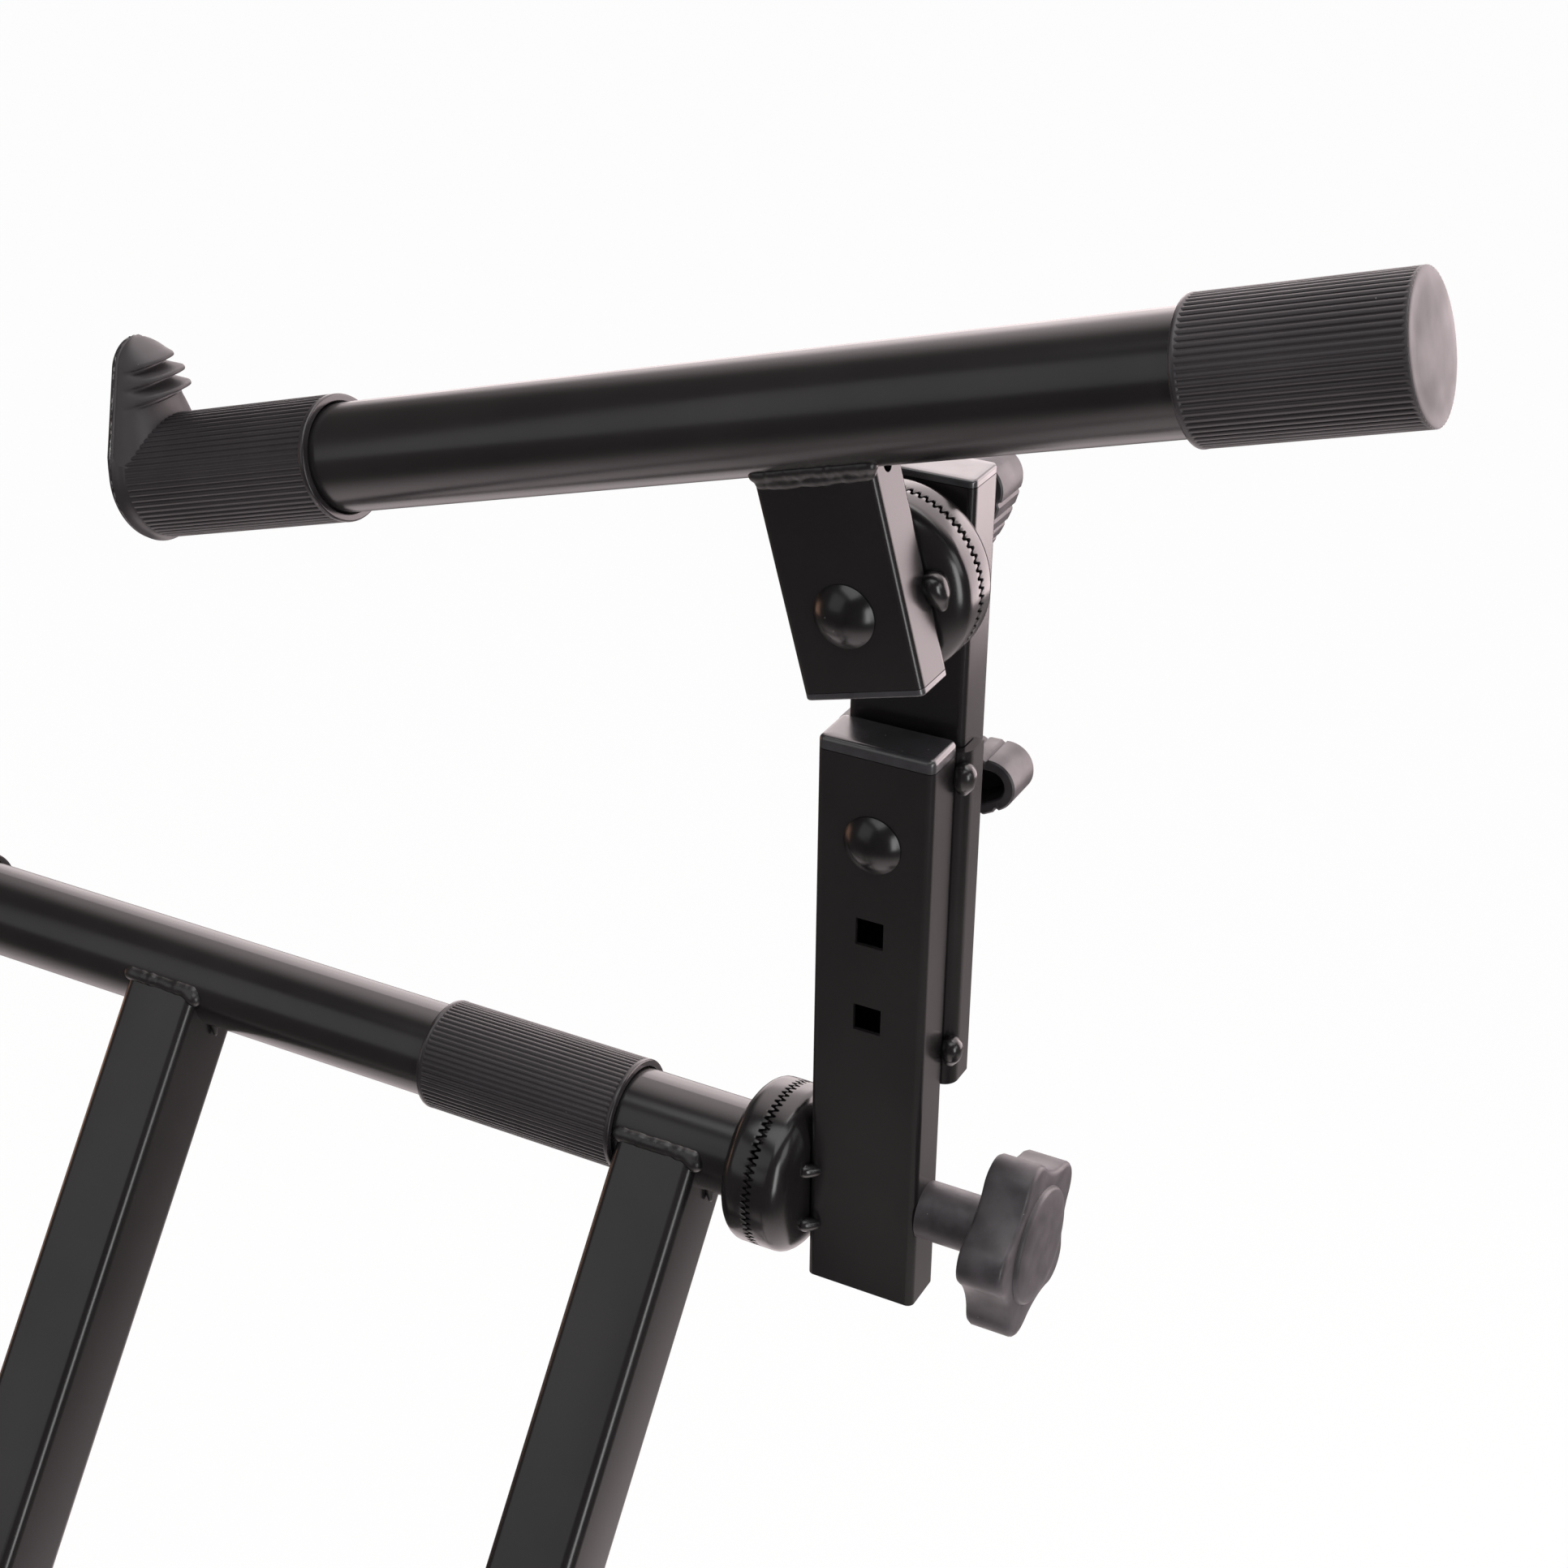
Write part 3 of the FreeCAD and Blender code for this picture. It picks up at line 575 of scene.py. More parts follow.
def ribbedSleeve(name, length, farEnd):
    top = stand["capRadius"]
    corners = [
        (sleeve["bore"], sleeve["mouthDepth"], 0),
        (sleeve["mouth"], sleeve["mouthDepth"] - sleeve["mouthStep"], 0),
        (sleeve["mouth"], 0, sleeve["rimSoft"] / 2),
        (top, 0, sleeve["rimSoft"]),
        (top, sleeve["rim"], 0.5),
        (sleeve["body"], sleeve["rim"] + sleeve["rimSlope"], 0.3),
    ]
    ribEnd = length - sleeve["rim"] - 0.6
    if farEnd == "open":
        corners += [
            (sleeve["body"], length - sleeve["rim"] - sleeve["rimSlope"], 0.3),
            (top, length - sleeve["rim"], 0.5),
            (top, length, sleeve["rimSoft"]),
            (sleeve["mouth"], length, sleeve["rimSoft"] / 2),
            (sleeve["mouth"], length - sleeve["mouthDepth"] + sleeve["mouthStep"], 0),
            (sleeve["bore"], length - sleeve["mouthDepth"], 0),
        ]
    elif farEnd == "plate":
        ribEnd = length - sleeve["collar"]
        corners += [
            (sleeve["body"], ribEnd - 0.6, 0),
            (top - 0.1, ribEnd + 0.5, 0.6),
            (top, length - 1.4, 1.0),
            (top + 0.9, length + 0.4, 0),
        ]
    else:
        ribEnd = length - sleeve["endSoft"] + 1.6
        corners += [
            (sleeve["body"], ribEnd - 1.8, 0),
            (top - 0.15, ribEnd - 1.0, 0.6),
            (top, length, sleeve["endSoft"]),
            (top * 0.5, length + 0.45, 5.0),
            (1.0, length + 0.5, 0),
        ]
    shell = lathe(name, corners, ends=(False, farEnd == "closed"))

    def polishAt(point):
        depth = sleeve["polishDepth"]
        if point.z < depth or farEnd == "open" and point.z > length - depth:
            return sleeve["rimPolish"]
        if farEnd != "closed" or point.z <= length - sleeve["endSoft"]:
            return 0
        # edge and face of a closed end: rougher, with painted light as a paler colour
        onEdge = math.hypot(point.x, point.y) > top - sleeve["endSoft"]
        return sleeve["edgePolish"] if onEdge else sleeve["endPolish"]

    shine(shell, polishAt)
    return grown(shell, ribNodes, {
        "Rib Count": sleeve["ribCount"], "Ring Radius": sleeve["body"],
        "Rib Start": sleeve["rim"], "Rib End": ribEnd,
        "Rib Width": sleeve["ribWidth"], "Rib Height": sleeve["ribHeight"], "Finish": rubber,
    })


def nodeSpan(node, axis):
    low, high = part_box(node)
    return low[axis], high[axis]


for side, facts in sides.items():
    low, high = nodeSpan(side + "_grip_sleeve", 1)
    tube = boxMiddle(side + "_grip_sleeve")
    place = Matrix.Translation((tube.x, high, tube.z)) @ spin("X", 90) @ Matrix.Scale(mm, 4)
    grip = ribbedSleeve("gripSleeve", (high - low) / mm, "open")
    settle(side + "GripSleeve", grip, place, "black_rubber", facts["name"] + "_frame",
           [side + "_grip_sleeve"])
print("sleeves ribbed")

# closed rear caps of the arms
rearCap = {"length": 63.0, "endPlate": 4.0}  # along the tube, end plate included
for side in sides:
    start = stand["armLength"] - stand["armFront"] + rearCap["endPlate"] - rearCap["length"]
    place = armFrame(side) @ shift(0, start, stand["armRise"]) @ spin("X", -90)
    made = ribbedSleeve("rearCap", rearCap["length"], "closed")
    settle(side + "RearCap", made, place, "black_rubber", side + "_arm", [side + "_arm_rear_cap"])

# lip caps: a tongue that narrows upward and leans back, fins behind it, ribbed sleeve
lip = {
    "radius": 20.8,
    "top": 47.5,
    "topRadius": 10.3,
    "plate": 3.0,
    "leanStart": 11.8,
    "lean": 0.24,
    "fins": [(28.7, 21.8), (34.1, 22.0), (39.2, 19.4)],  # height, reach behind the tube's end
    "grooves": [(26.2, 13.9), (31.7, 13.4), (37.1, 13.0)],  # under each fin
    "tipHalf": 0.65,
    "foot": 14.6,
    "dome": [(41.2, 16.7), (42.6, 15.2), (44.0, 13.6), (45.3, 12.0), (46.3, 10.7), (47.0, 9.6), (47.4, 8.8)],
    "seam": 0.32,  # mould line round the edge
    "seamSpread": (-0.2, 1.2),  # its least and most, as a share
    "seamHalf": 22.0,  # half width that it is measured against
    "seamLift": 30.0,  # above this height it stands up too
    "seamAt": 1.85,  # behind the plate's front
    "seamShine": 0.35,
    "paintedLight": -0.6,  # painted light: paler colour behind the mould line, fins included
}


def leanOf(height):
    return lip["lean"] * max(height - lip["leanStart"], 0)


def tongueOutline(inset, count=40):
    low, high = lip["radius"] - inset, lip["topRadius"] - inset
    lift = lip["top"] - lip["topRadius"]
    tilt = math.asin((low - high) / lift)
    points = []
    for i in range(2 * count + 1):
        a = math.pi - tilt + (math.pi + 2 * tilt) * i / (2 * count)
        points.append((low * math.cos(a), low * math.sin(a)))
    for k in range(1, 10):
        points.append(tuple(Vector((low * math.cos(tilt), low * math.sin(tilt))).lerp(
            Vector((high * math.cos(tilt), lift + high * math.sin(tilt))), k / 10)))
    for i in range(count + 1):
        a = tilt + (math.pi - 2 * tilt) * i / count
        points.append((high * math.cos(a), lift + high * math.sin(a)))
    return points + [(-x, z) for x, z in reversed(points[2 * count + 1:2 * count + 10])]


def tongueHalf(height):
    lift = lip["top"] - lip["topRadius"]
    tilt = math.asin((lip["radius"] - lip["topRadius"]) / lift)
    low, high = lip["radius"] * math.sin(tilt), lift + lip["topRadius"] * math.sin(tilt)
    if height < low:
        return math.sqrt(lip["radius"] ** 2 - height ** 2)
    if height > high:
        return math.sqrt(max(lip["topRadius"] ** 2 - (height - lift) ** 2, 0.04))
    share = (height - low) / (high - low)
    return math.cos(tilt) * (lip["radius"] * (1 - share) + lip["topRadius"] * share)


def lipPlate():
    front = -lip["plate"]
    layers = [(front, 10.0), (front, 6.0), (front, 1.6), (front + 0.25, 0.6), (front + 0.9, 0.0)]
    layers += [(front + 1.5, 0.0), (front + 1.6, -1), (front + 2.1, -1), (front + 2.2, 0.0)]
    layers += [(-0.45, 0.05), (-0.1, 0.4), (0, 1.0), (0, 6.0), (0, 10.0)]
    chance = random.Random(5)
    rough = [lip["seam"] * chance.uniform(*lip["seamSpread"]) for _ in tongueOutline(0)]
    rings = []
    for y, inset in layers:
        outline = tongueOutline(max(inset, 0))
        if inset < 0:
            outline = [(x * (1 + r / lip["seamHalf"]), z + r * (z > lip["seamLift"]))
                       for (x, z), r in zip(outline, rough)]
        rings.append([Vector((x, y + leanOf(z), z)) for x, z in outline])
    for place, ring in ((0, rings[0]), (len(rings) + 1, rings[-1])):
        rings.insert(place, [Vector((point.x * 0.02, point.y, point.z)) for point in ring])
    made = ringMesh("lipPlate", rings)

    def polishAt(point):
        off = point.y - leanOf(point.z) - (front + lip["seamAt"])
        # behind the mould line the rubber gets painted light, a paler colour
        return 1 if abs(off) < lip["seamShine"] else lip["paintedLight"] * (off > 0)

    shine(made, polishAt)
    return made


def stopSection(height, reach, half, count=36):
    back = leanOf(height)
    arc = [math.pi * i / count for i in range(count + 1)]
    ring = [Vector((half * math.cos(a), back + (reach - back) * math.sin(a) ** 0.6, height)) for a in arc]
    return ring + [Vector((-half, back - 1.2, height)), Vector((half, back - 1.2, height))]


def lipStop():
    thin = lip["tipHalf"]
    path = [(6.0, lip["foot"]), (18.7, lip["foot"]), (22.0, lip["foot"] - 0.2), (24.6, lip["foot"] - 0.6)]
    for (tip, reach), (groove, depth) in zip(lip["fins"], lip["grooves"]):
        path += [(groove - 0.6, depth + 0.35), (groove - 0.2, depth), (groove + 0.3, depth)]
        path += [(groove + 0.8, depth + 0.8)]
        path += [(tip - thin - 0.25, reach - 1.2), (tip - thin, reach - 0.3), (tip - 0.25, reach)]
        path += [(tip + 0.25, reach), (tip + thin, reach - 0.3), (tip + thin + 0.25, reach - 1.2)]
    rings = []
    for height, reach in path[:-1] + lip["dome"]:
        rings.append(stopSection(height, reach, max(tongueHalf(height) - 0.7, 0.6)))
    made = ringMesh("lipStop", rings)
    # painted light over the whole stop: a paler colour
    shine(made, lambda point: lip["paintedLight"])
    return made


def lipCap():
    sleeveMesh = ribbedSleeve("lipSleeve", sleeve["length"], "plate")
    sleeveMesh.transform(shift(0, sleeve["length"], 0) @ spin("X", 90))
    return joined("lipCap", [lipPlate(), lipStop(), sleeveMesh])


for side, facts in sides.items():
    tube = boxMiddle(facts["name"] + "_top_tube")
    tubeFront = nodeSpan(facts["name"] + "_top_tube", 1)[0]
    place = Matrix.Translation((tube.x, tubeFront, tube.z)) @ Matrix.Scale(mm, 4)
    settle(side + "LowerLip", lipCap(), place, "black_rubber", facts["name"] + "_frame",
           [side + "_lower_lip_cap"])
    place = armFrame(side) @ shift(0, -stand["armFront"], stand["armRise"])
    settle(side + "ArmLip", lipCap(), place, "black_rubber", side + "_arm", [side + "_arm_lip_cap"])
print("lips moulded")

# star knobs
star = {
    "lobes": 5,
    "radius": 32.0,
    "notch": 25.3,
    "lobeRadius": 9.2,
    "lobeHalf": 14.0,  # degrees off its middle where a lobe is always round
    "height": 16.5,
    "edge": 1.7,
    "domeRadius": 20.5,
    "domeHeight": 2.6,
    "turn": 60.0,
}


def starRadius(angle):
    half = math.pi / star["lobes"]
    off = abs((angle + half) % (2 * half) - half)
    centre = star["radius"] - star["lobeRadius"]
    spread = centre * math.cos(half)
    hollow = star["lobeRadius"] ** 2 - centre ** 2 - star["notch"] ** 2 + 2 * spread * star["notch"]
    hollow /= 2 * (star["notch"] - spread - star["lobeRadius"])
    far = star["notch"] + hollow
    lobe = centre * math.cos(off) + math.sqrt(max(star["lobeRadius"] ** 2 - (centre * math.sin(off)) ** 2, 0))
    gap = half - off
    inside = hollow ** 2 - (far * math.sin(gap)) ** 2
    if inside < 0 or off < math.radians(star["lobeHalf"]):
        return lobe
    return far * math.cos(gap) - math.sqrt(inside)


def starKnob(count=200):
    angles = [2 * math.pi * i / count for i in range(count)]
    wide = [starRadius(a) for a in angles]
    edge, top = star["edge"], star["height"]
    layers = [(0, edge * 1.3), (edge * 0.3, edge * 0.45), (edge, 0.0), (top - edge, 0.0)]
    layers += [(top - edge * 0.55, edge * 0.14), (top - edge * 0.2, edge * 0.5), (top, edge * 1.3)]
    rings = []
    for height, inset in layers:
        rings.append([Vector(((r - inset) * math.cos(a), (r - inset) * math.sin(a), height))
                      for a, r in zip(angles, wide)])
    dome = [(star["domeRadius"], 0.0, 0), (star["domeRadius"] - 0.6, star["domeHeight"] * 0.55, 0.8),
            (star["domeRadius"] - 5.0, star["domeHeight"] * 0.95, 4.0), (1.0, star["domeHeight"], 0)]
    for point in softCorners(dome):
        rings.append(circle(point.x, top + point.y, count))
    return ringMesh("starKnob", rings)


for side in sides:
    node = side + "_swivel_knob"
    middle = boxMiddle(sides[side]["name"] + "_top_tube")
    place = Matrix.Translation((middle.x, nodeSpan(node, 1)[0], middle.z)) @ sideScale(side)
    place = place @ spin("X", -90) @ spin("Z", star["turn"])
    settle(side + "StarKnob", starKnob(), place, "black_plastic", node, [node])
lockMiddle = Vector(joints["x_fold"]["pos_m"])
lockSeat = nodeSpan("lock_knob", 1)[1]
place = Matrix.Translation((lockMiddle.x, lockSeat, lockMiddle.z)) @ Matrix.Scale(mm, 4) @ spin("X", 90)
settle("lockStarKnob", starKnob(), place, "black_plastic", "lock_knob", ["lock_knob"])

# T-knobs: long grip with grooves, pocket open to the post
wing = {
    "halfLength": 29.5,
    "halfWidth": 12.0,
    "endRadius": 9.0,
    "depth": 17.5,
    "wall": 3.8,
    "web": 4.5,
    "hubRadius": 8.0,
    "hubBore": 4.1,
    "hubLength": 5.0,
    "groovePitch": 6.0,
    "grooveCount": 8,
    "grooveHalf": 1.0,
    "grooveDepth": 0.9,
    "edge": 1.6,
    "turns": {"height_knob": 15.0, "tilt_knob": 60.0},
}


def wingOutline(inset, grooved, count=90):
    half = wing["halfWidth"] - inset
    end = wing["halfLength"] - wing["endRadius"]
    slack = half - (wing["halfWidth"] - wing["endRadius"])
    side = (end ** 2 + half ** 2 - slack ** 2) / (2 * (half - slack))
    reach = wing["endRadius"] - inset
    touch = Vector((end, side - half)).normalized() * side
    corner = Vector((touch.x, touch.y - side + half))
    start = math.atan2(corner.y, corner.x - end)
    points = []
    for flip in (1, -1):
        for i in range(count + 1):
            x = corner.x * (1 - 2 * i / count)
            y = half - side + math.sqrt(side ** 2 - x ** 2)
            if grooved:
                for k in range(wing["grooveCount"]):
                    spot = (k - (wing["grooveCount"] - 1) / 2) * wing["groovePitch"]
                    off = abs(x - spot) / wing["grooveHalf"]
                    y -= wing["grooveDepth"] * max(0.0, 1 - off ** 2)
            points.append((flip * x, flip * y))
        for i in range(1, 24):
            a = math.pi - start + 2 * start * i / 24
            points.append((flip * (-end + reach * math.cos(a)), flip * reach * math.sin(a)))
    return points


def wingKnob():
    low, top = wing["hubLength"], wing["hubLength"] + wing["depth"]
    floor, edge = top - wing["web"], wing["edge"]
    layers = [(floor, wing["wall"] + 0.4, False), (low + 0.5, wing["wall"], False)]
    layers += [(low, wing["wall"] - 0.5, False)]
    layers += [(low, 0.6, True), (low + 0.5, 0.0, True), (top - edge, 0.0, True)]
    layers += [(top - edge * 0.4, edge * 0.25, True), (top, edge, False)]
    rings = []
    for height, inset, grooved in layers:
        rings.append([Vector((x, y, height)) for x, y in wingOutline(inset, grooved)])
    bore, wide = wing["hubBore"], wing["hubRadius"]
    corners = [(bore, 0, 0), (wide, 0, 0.5), (wide, floor + 1, 0), (bore, floor + 1, 0)]
    hub = lathe("wingHub", corners, count=64)
    return joined("wingKnob", [ringMesh("wing", rings), hub])


for side in sides:
    for kind, turned in wing["turns"].items():
        node = side + "_" + kind
        pivot = Vector(joints[node + "_turn"]["pos_m"])
        seat = nodeSpan(node, 0)[1 if sides[side]["sign"] > 0 else 0]
        place = Matrix.Translation((seat, pivot.y, pivot.z)) @ sideScale(side)
        place = place @ spin("X", turned) @ spin("Y", -90) @ spin("Z", 90)
        settle(pieceName(side, kind), wingKnob(), place, "black_plastic", node, [node])
print("knobs moulded")

# clutch cups: one tooth's slice of the cup, repeated round the axis
cup = {
    "radius": 29.5,
    "depth": 13.6,  # seat to the middle of the teeth
    "sheet": 2.0,
    "flat": 15.5,  # radius of the flat seat
    "shoulder": 7.6,
    "teeth": 72,
    "toothHeight": 1.8,
    "toothSteep": 1.5,  # over 1, so that the teeth have flat tops
    "gap": 1.35,  # along the axis, between two crowns
    "columns": 8,
    "hole": 4.2,
    "edge": 0.45,
    "merge": 0.01,
}


def cupTree():
    tree, given, out = newTree("cupTeeth", [("Tooth Count", "Int"), ("Finish", "Material")])
    count = given.outputs["Tooth Count"]
    points = addNode(tree, "GeometryNodePoints", Count=count)
    index = tree.nodes.new("GeometryNodeInputIndex")
    share = math2(tree, "DIVIDE", index.outputs[0], count)
    euler = addNode(tree, "ShaderNodeCombineXYZ", Z=math2(tree, "MULTIPLY", share, 2 * math.pi))
    turn = tree.nodes.new("FunctionNodeEulerToRotation")
    tree.links.new(euler.outputs[0], turn.inputs[0])
    copies = addNode(tree, "GeometryNodeInstanceOnPoints", Points=points.outputs[0],
                     Instance=given.outputs["Geometry"], Rotation=turn.outputs[0])
    return closeTree(tree, given, out, copies.outputs["Instances"], cup["merge"])


def toothWave(share):
    wave = cup["toothSteep"] * math.cos(2 * math.pi * share)
    return max(-1.0, min(1.0, wave))


def cupSlice():
    wide, sheet, edge = cup["radius"], cup["sheet"], cup["edge"]
    foot = cup["depth"] - cup["gap"] / 2 - cup["toothHeight"] / 2 - edge - 0.4  # the plain band's end
    rings = []
    for i in range(cup["columns"] + 1):
        share = i / cup["columns"]
        top = cup["depth"] - cup["gap"] / 2 + cup["toothHeight"] / 2 * toothWave(share)
        profile = [(cup["hole"], 0), (cup["flat"], 0)]
        for k in range(1, 11):
            a = math.pi / 2 * k / 10
            reach = cup["flat"] + (wide - cup["flat"]) * math.sin(a)
            profile.append((reach, cup["shoulder"] * (1 - math.cos(a))))
        profile += [(wide, foot), (wide, foot + 0.15)]
        profile += [(wide, top - edge), (wide - edge * 0.3, top - edge * 0.3), (wide - edge, top)]
        profile += [(wide - sheet + 0.2, top), (wide - sheet, top - 0.2), (wide - sheet, cup["shoulder"])]
        profile += [(cup["flat"] + 2, sheet), (cup["hole"], sheet)]
        a = 2 * math.pi * (share - 0.5) / cup["teeth"]
        rings.append([Vector((r * math.cos(a), r * math.sin(a), z)) for r, z in profile])
    return ringMesh("cupSlice", rings, ends=(False, False))


cupNodes = cupTree()


def clutchCup(second):
    made = grown(cupSlice(), cupNodes, {"Tooth Count": cup["teeth"], "Finish": cupCoat})
    if second:
        flip = Matrix.Diagonal((1, 1, -1, 1))
        made.transform(spin("Z", 180 / cup["teeth"]) @ shift(0, 0, 2 * cup["depth"]) @ flip)
    return made


def cupPair(label, place, rideOn, replaced):
    for second in (False, True):
        name = label + ("TurningCup" if second else "FixedCup")
        settle(name, clutchCup(second), place, "black_coat", rideOn[second], [replaced[second]], cupCoat, 30)


for side, facts in sides.items():
    mirror = sideScale(side)
    axis = Vector(joints[side + "_tier_swivel"]["pos_m"])
    seat = nodeSpan(side + "_swivel_fixed_cup", 1)[0]
    place = Matrix.Translation((axis.x, seat, axis.z)) @ mirror @ spin("X", -90)
    cupPair(side + "Swivel", place, (facts["name"] + "_frame", side + "_post"),
            (side + "_swivel_fixed_cup", side + "_swivel_turning_cup"))
    axis = Vector(joints[side + "_arm_tilt"]["pos_m"])
    seat = nodeSpan(side + "_tilt_fixed_cup", 0)[0 if facts["sign"] > 0 else 1]
    place = Matrix.Translation((seat, axis.y, axis.z)) @ mirror @ spin("Y", 90)
    cupPair(side + "Tilt", place, (side + "_inner_post", side + "_arm"),
            (side + "_tilt_fixed_cup", side + "_tilt_turning_cup"))
axis = Vector(joints["x_fold"]["pos_m"])
seat = nodeSpan("outer_lock_cup", 1)[0]
place = Matrix.Translation((axis.x, seat, axis.z)) @ Matrix.Scale(mm, 4) @ spin("X", -90)
cupPair("lock", place, ("outer_frame", "inner_frame"), ("outer_lock_cup", "inner_lock_cup"))
print("cups toothed")

# carriage bolts
bolt = {"head": 10.2, "height": 5.0, "shank": 4.0, "neck": 4.2, "neckLength": 3.0, "undercut": 0.7}


def carriageBolt(length):
    ball = (bolt["height"] ** 2 + bolt["head"] ** 2) / (2 * bolt["height"])
    corners = [(bolt["shank"] * 0.8, -length, 0), (bolt["shank"], -length + 1.0, 0), (bolt["shank"], 0.0, 0)]
    corners += [(bolt["head"] - 0.9, 0.0, 0), (bolt["head"] - 0.25, bolt["undercut"] * 0.5, 0)]
    for k in range(1, 19):
        z = bolt["undercut"] + (bolt["height"] - bolt["undercut"]) * math.sin(math.pi / 2 * k / 18.5)
        corners.append((math.sqrt(ball ** 2 - (z - bolt["height"] + ball) ** 2), z, 0))
    half = bolt["neck"]
    square = [Vector((x, y, 0)) for x, y in ((half, half), (-half, half), (-half, -half), (half, -half))]
    neck = ringMesh("neck", [[p + Vector((0, 0, -bolt["neckLength"])) for p in square], square])
    return joined("carriageBolt", [lathe("bolt", corners, count=96), neck])


for side in sides:
    seats = {"height_bolt": (tierFrame(side), joints[side + "_height_knob_turn"]["pos_m"][2], side + "_post"),
             "tilt_bolt": (armFrame(side), None, side + "_arm")}
    for kind, (base, height, body) in seats.items():
        low, high = nodeSpan(side + "_" + kind, 0)
        rise = 0 if height is None else height / mm - base.translation.z / mm
        place = base @ shift(stand["postDepth"] / 2, 0, rise) @ spin("Y", 90)
        made = carriageBolt((high - low) / mm - bolt["height"])
        settle(pieceName(side, kind), made, place, "black_bolt", body, [side + "_" + kind], crease=30)
print("bolts turned")

# plastic plugs in the ends of the posts and brackets
plugs = {
    "post_cap": {"height": 4.7, "soft": 1.9, "lid": 3.5},
    "inner_post_cap": {"height": 2.6, "soft": 1.0, "lid": 2.6},
    "bracket_plug": {"height": 2.3, "soft": 0.6, "drop": 23.7},
}
plugFit = {"wall": 1.62, "length": 12.0}  # inside the bar


def barOutline(inset, wide=stand["postDepth"], deep=stand["postWidth"], corner=2.5, steps=8):
    halfX, halfY = wide / 2 - inset, deep / 2 - inset
    soft = max(corner - inset, 0.3)
    points = []
    for k, (sx, sy) in enumerate(((1, 1), (-1, 1), (-1, -1), (1, -1))):
        for i in range(steps + 1):
            a = math.pi / 2 * (k + i / steps)
            x, y = sx * (halfX - soft), sy * (halfY - soft)
            points.append((x + soft * math.cos(a), y + soft * math.sin(a)))
    return points


def endPlug(facts):
    top, soft = facts["height"], facts["soft"]
    wall, length = plugFit["wall"], plugFit["length"]
    layers = [(-length, wall + 0.8), (-length + 1.5, wall), (0.02, wall)]
    layers += [(0.02, 0.3), (0.25, 0.0)]
    layers += [(top - soft + soft * math.sin(a), soft * (1 - math.cos(a))) for a in
               (math.pi / 2 * k / 8 for k in range(9))]
    layers += [(top + 0.02, soft + 2.0), (top, 8.0)]
    return ringMesh("endPlug", [[Vector((x, y, z)) for x, y in barOutline(inset)] for z, inset in layers])


for side in sides:
    for kind, body in (("post_cap", side + "_post"), ("inner_post_cap", side + "_inner_post")):
        node = side + "_" + kind
        high = nodeSpan(node, 2)[1]
        middle = boxMiddle(node)
        place = Matrix.Translation((middle.x, middle.y, high)) @ sideScale(side)
        place = place @ shift(0, 0, -plugs[kind]["lid"])
        settle(pieceName(side, kind), endPlug(plugs[kind]), place, "black_plastic", body, [node], capGloss)
    place = armFrame(side) @ shift(0, 0, -plugs["bracket_plug"]["drop"]) @ spin("X", 180)
    settle(side + "BracketPlug", endPlug(plugs["bracket_plug"]), place, "black_plastic", side + "_arm",
           [side + "_bracket_plug"], capGloss)
print("plugs pressed in")

# square legs, their ends hidden in the round tubes
leg = {"length": 960.0, "corner": 4.2, "start": 6.0}
for side, facts in sides.items():
    for kind in ("front", "rear"):
        node = facts["name"] + "_" + kind + "_leg"
        outline = barOutline(0, stand["legSide"], stand["legSide"], leg["corner"])
        ends = (leg["start"], leg["length"] - leg["start"])
        made = ringMesh("legBar", [[Vector((x, y, z)) for x, y in outline] for z in ends])
        base = tierFrame(side)
        base.translation.y = boxMiddle(node).y
        place = base @ spin("Y", 180 - stand["legAngle"])
        body = facts["name"] + "_frame"
        settle(facts["name"] + kind.title() + "Leg", made, place, "black_coat", body, [node])
print("legs drawn")

# welds: beads grown from points that carry their own radius
weldLook = {
    "dark": (0.0065, 0.0058, 0.0058), "pale": (0.012, 0.0108, 0.0108), "dust": (0.3, 0.28, 0.27),
    "cloudScale": 90, "wearScale": 200, "rough": (0.2, 0.28), "grainScale": 900, "grainBump": 0.04,
    "grainDepth": 0.0002, "speckScale": 500, "speckSize": 0.05, "speckRarity": 0.95, "speckShow": 0.4,
    "specular": 0.6,
}
weldFinish = blackFinish("weldGloss", weldLook)
weldSatin = blackFinish("weldSatin", {**weldLook, "rough": (0.3, 0.4), "grainBump": 0.15, "grainScale": 420})
weld = {
    "voxel": 0.35,
    "pitch": 1.2,
    "jitter": 0.18,
    "sizes": (0.94, 1.05),  # share of the seam's radius, least and most
    "seamRadius": 3.4,
    "threshold": 0.3,
    "legSeams": ((15.6, 3.2), (-7.5, -14.2)),  # x and z of the seams on a leg
    "legEnd": ((0, -3, 0), (1.2, 0.6, -1.6), 3.6, 3.4),  # a run: start, end and the radius at each
    "legRun": ((9.0, 16.6, -12.5), (9.4, 17.4, -18.5), 2.0, 1.1),
    "guideSides": (22.6, -22.6),  # y of the drops that hold the guide channel
    "guideHeights": (161.5, 60.0),
    "guideRuns": (  # y as a share
        ((-9.0, 1.0, 1.0), (-9.0, 1.0, -1.5), 4.2, 3.9),
        ((-9.0, 1.0, -1.5), (-9.2, 0.985, -4.5), 3.3, 2.4),
    ),
    "seatHeights": (9.3, -13.3),  # drops between the post and its cup
    "seatRun": ((11.8, -20.0, 0), (9.3, -17.0, -0.4), 2.9, 2.3),
    "cupRuns": (
        ((-7.8, 21.8, 2.0), (-8.2, 22.2, -0.5), 4.7, 4.3),
        ((-8.2, 22.2, -0.5), (-8.6, 22.6, -4.5), 3.6, 2.5),
        ((-8.0, -21.6, 4.5), (-8.6, -22.6, -2.5), 4.2, 2.8),
    ),
    "bracketSeams": ((1.0, 18.5, 0.2, 2.7, 11), (1.6, 17.5, 3.0, 2.5, 17)),  # inset, half, drop, radius, seed
    "smoothing": {"leg": 12, "post": 26, "cup": 36, "bracket": 9},
}


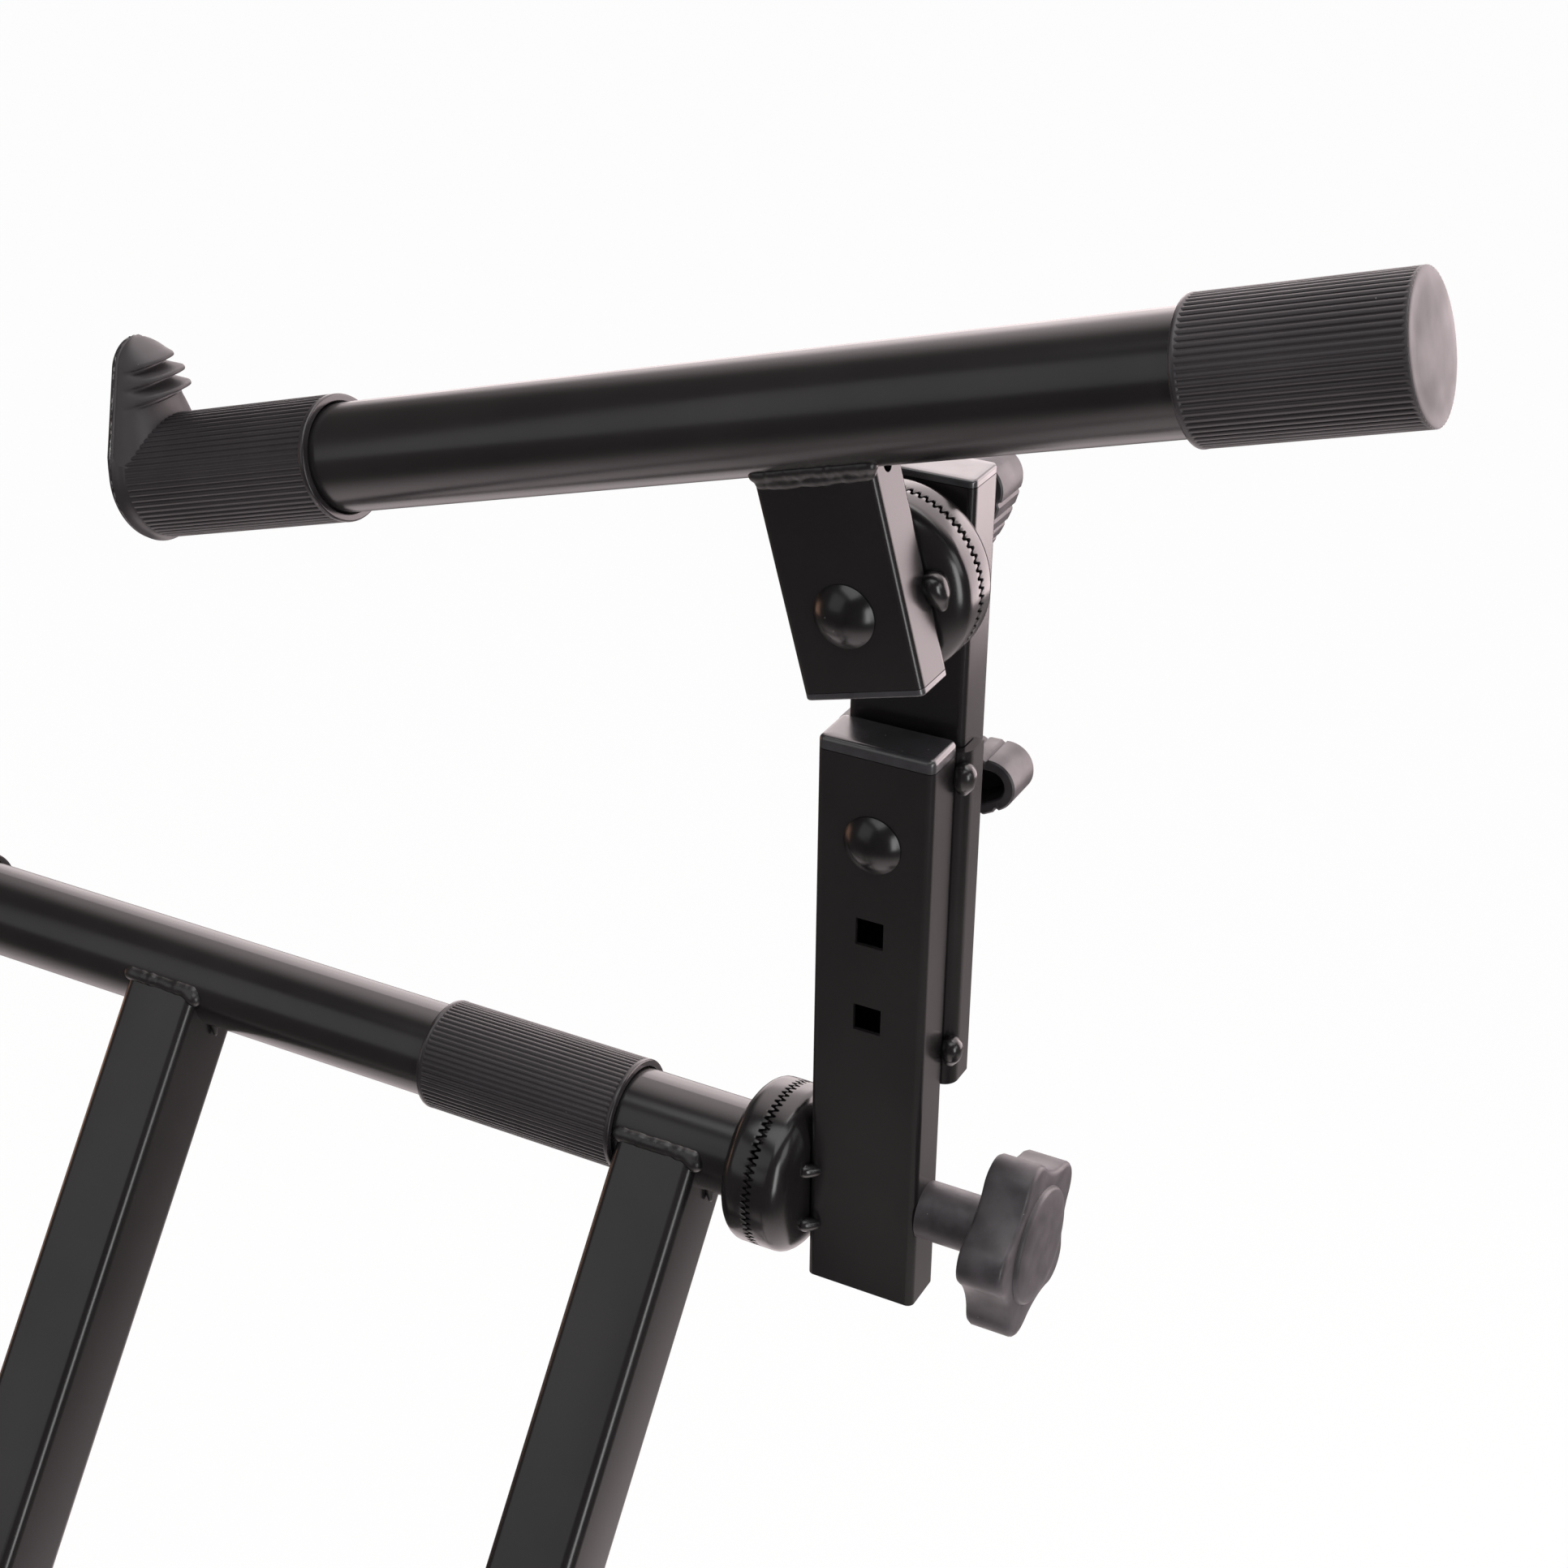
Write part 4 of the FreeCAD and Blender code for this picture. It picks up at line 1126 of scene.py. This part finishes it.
def weldTree():
    tree, given, out = newTree("weldBead", [("Voxel", "Float"), ("Smoothing", "Int"), ("Finish", "Material")])
    size = addNode(tree, "GeometryNodeInputNamedAttribute", data_type="FLOAT", Name="bead")
    drops = addNode(tree, "GeometryNodeMeshToPoints", Mesh=given.outputs["Geometry"],
                    Radius=size.outputs["Attribute"])
    radius = tree.nodes.new("GeometryNodeInputRadius")
    cloud = addNode(tree, "GeometryNodePointsToVolume", resolution_mode="VOXEL_SIZE",
                    Points=drops.outputs["Points"], Voxel_Size=given.outputs["Voxel"],
                    Radius=radius.outputs[0])
    skin = addNode(tree, "GeometryNodeVolumeToMesh", resolution_mode="GRID", Threshold=weld["threshold"],
                   Volume=cloud.outputs["Volume"])
    spot = tree.nodes.new("GeometryNodeInputPosition")
    blur = addNode(tree, "GeometryNodeBlurAttribute", data_type="FLOAT_VECTOR",
                   Iterations=given.outputs["Smoothing"])
    tree.links.new(spot.outputs[0], next(s for s in blur.inputs if s.type == "VECTOR"))
    smooth = addNode(tree, "GeometryNodeSetPosition", Geometry=skin.outputs["Mesh"],
                     Position=next(s for s in blur.outputs if s.type == "VECTOR"))
    return closeTree(tree, given, out, smooth.outputs[0])


weldNodes = weldTree()


def beadMesh(drops, smoothing):
    mesh = bpy.data.meshes.new("weldDrops")
    mesh.from_pydata([point for point, radius in drops], [], [])
    layer = mesh.attributes.new("bead", "FLOAT", "POINT")
    for item, (point, radius) in zip(layer.data, drops):
        item.value = radius
    return grown(mesh, weldNodes, {"Voxel": weld["voxel"], "Smoothing": smoothing, "Finish": weldFinish})


def seamDrops(start, stop, radius, seed):
    chance = random.Random(seed)
    start, stop = Vector(start), Vector(stop)
    count = max(int((stop - start).length / weld["pitch"]), 2)
    drops = []
    for i in range(count + 1):
        jitter = Vector([chance.uniform(-weld["jitter"], weld["jitter"]) for _ in range(3)])
        drops.append((start.lerp(stop, i / count) + jitter, radius * chance.uniform(*weld["sizes"])))
    return drops


def runDrops(run, at=(0, 0, 0), spread=1, count=7):
    start, stop = [Vector((at[0] + x, at[1] + spread * y, at[2] + z)) for x, y, z in run[:2]]
    first, last = run[2:]
    return [(start.lerp(stop, i / count), first + (last - first) * i / count) for i in range(count + 1)]


def addWelds(name, kind, drops, place, body, finish):
    made = beadMesh(drops, weld["smoothing"][kind])
    settle(name + kind.title() + "Welds", made, place, "black_coat", body, material=finish, crease=60)


for side, facts in sides.items():
    near = []
    for seed, kind in enumerate(("rear", "front")):
        middle = (boxMiddle(facts["name"] + "_" + kind + "_leg").y - tierFrame(side).translation.y) / mm
        half = stand["legSide"] / 2 - 1
        for x, z in weld["legSeams"]:
            near += seamDrops((x, middle - half, z), (x, middle + half, z), weld["seamRadius"], seed + 3)
            near += runDrops(weld["legEnd"], (x, middle + half, z))
        near += runDrops(weld["legRun"], (0, middle, 0))
    addWelds(side, "leg", near, tierFrame(side), facts["name"] + "_frame", weldSatin)
    drops = []
    for y in weld["guideSides"]:
        for z in weld["guideHeights"]:
            for run in weld["guideRuns"]:
                drops += runDrops(run, (0, 0, z), y)
    for z in weld["seatHeights"]:
        drops += runDrops(weld["seatRun"], (0, 0, z))
    addWelds(side, "post", drops, tierFrame(side), side + "_post", weldFinish)
    drops = [drop for run in weld["cupRuns"] for drop in runDrops(run)]
    addWelds(side, "cup", drops, armFrame(side), side + "_arm", weldFinish)
    rise = stand["armRise"] - math.sqrt(stand["tubeRadius"] ** 2 - (stand["postDepth"] / 2) ** 2)
    drops = []
    for x, sign in ((stand["postDepth"] / 2, -1), (-stand["postDepth"] / 2, 1)):
        for inset, half, down, radius, seed in weld["bracketSeams"]:
            start, stop = [(x + sign * inset, end, rise - down) for end in (-half, half)]
            drops += seamDrops(start, stop, radius, seed)
    addWelds(side, "bracket", drops, armFrame(side), side + "_arm", weldSatin)
print("welds run")
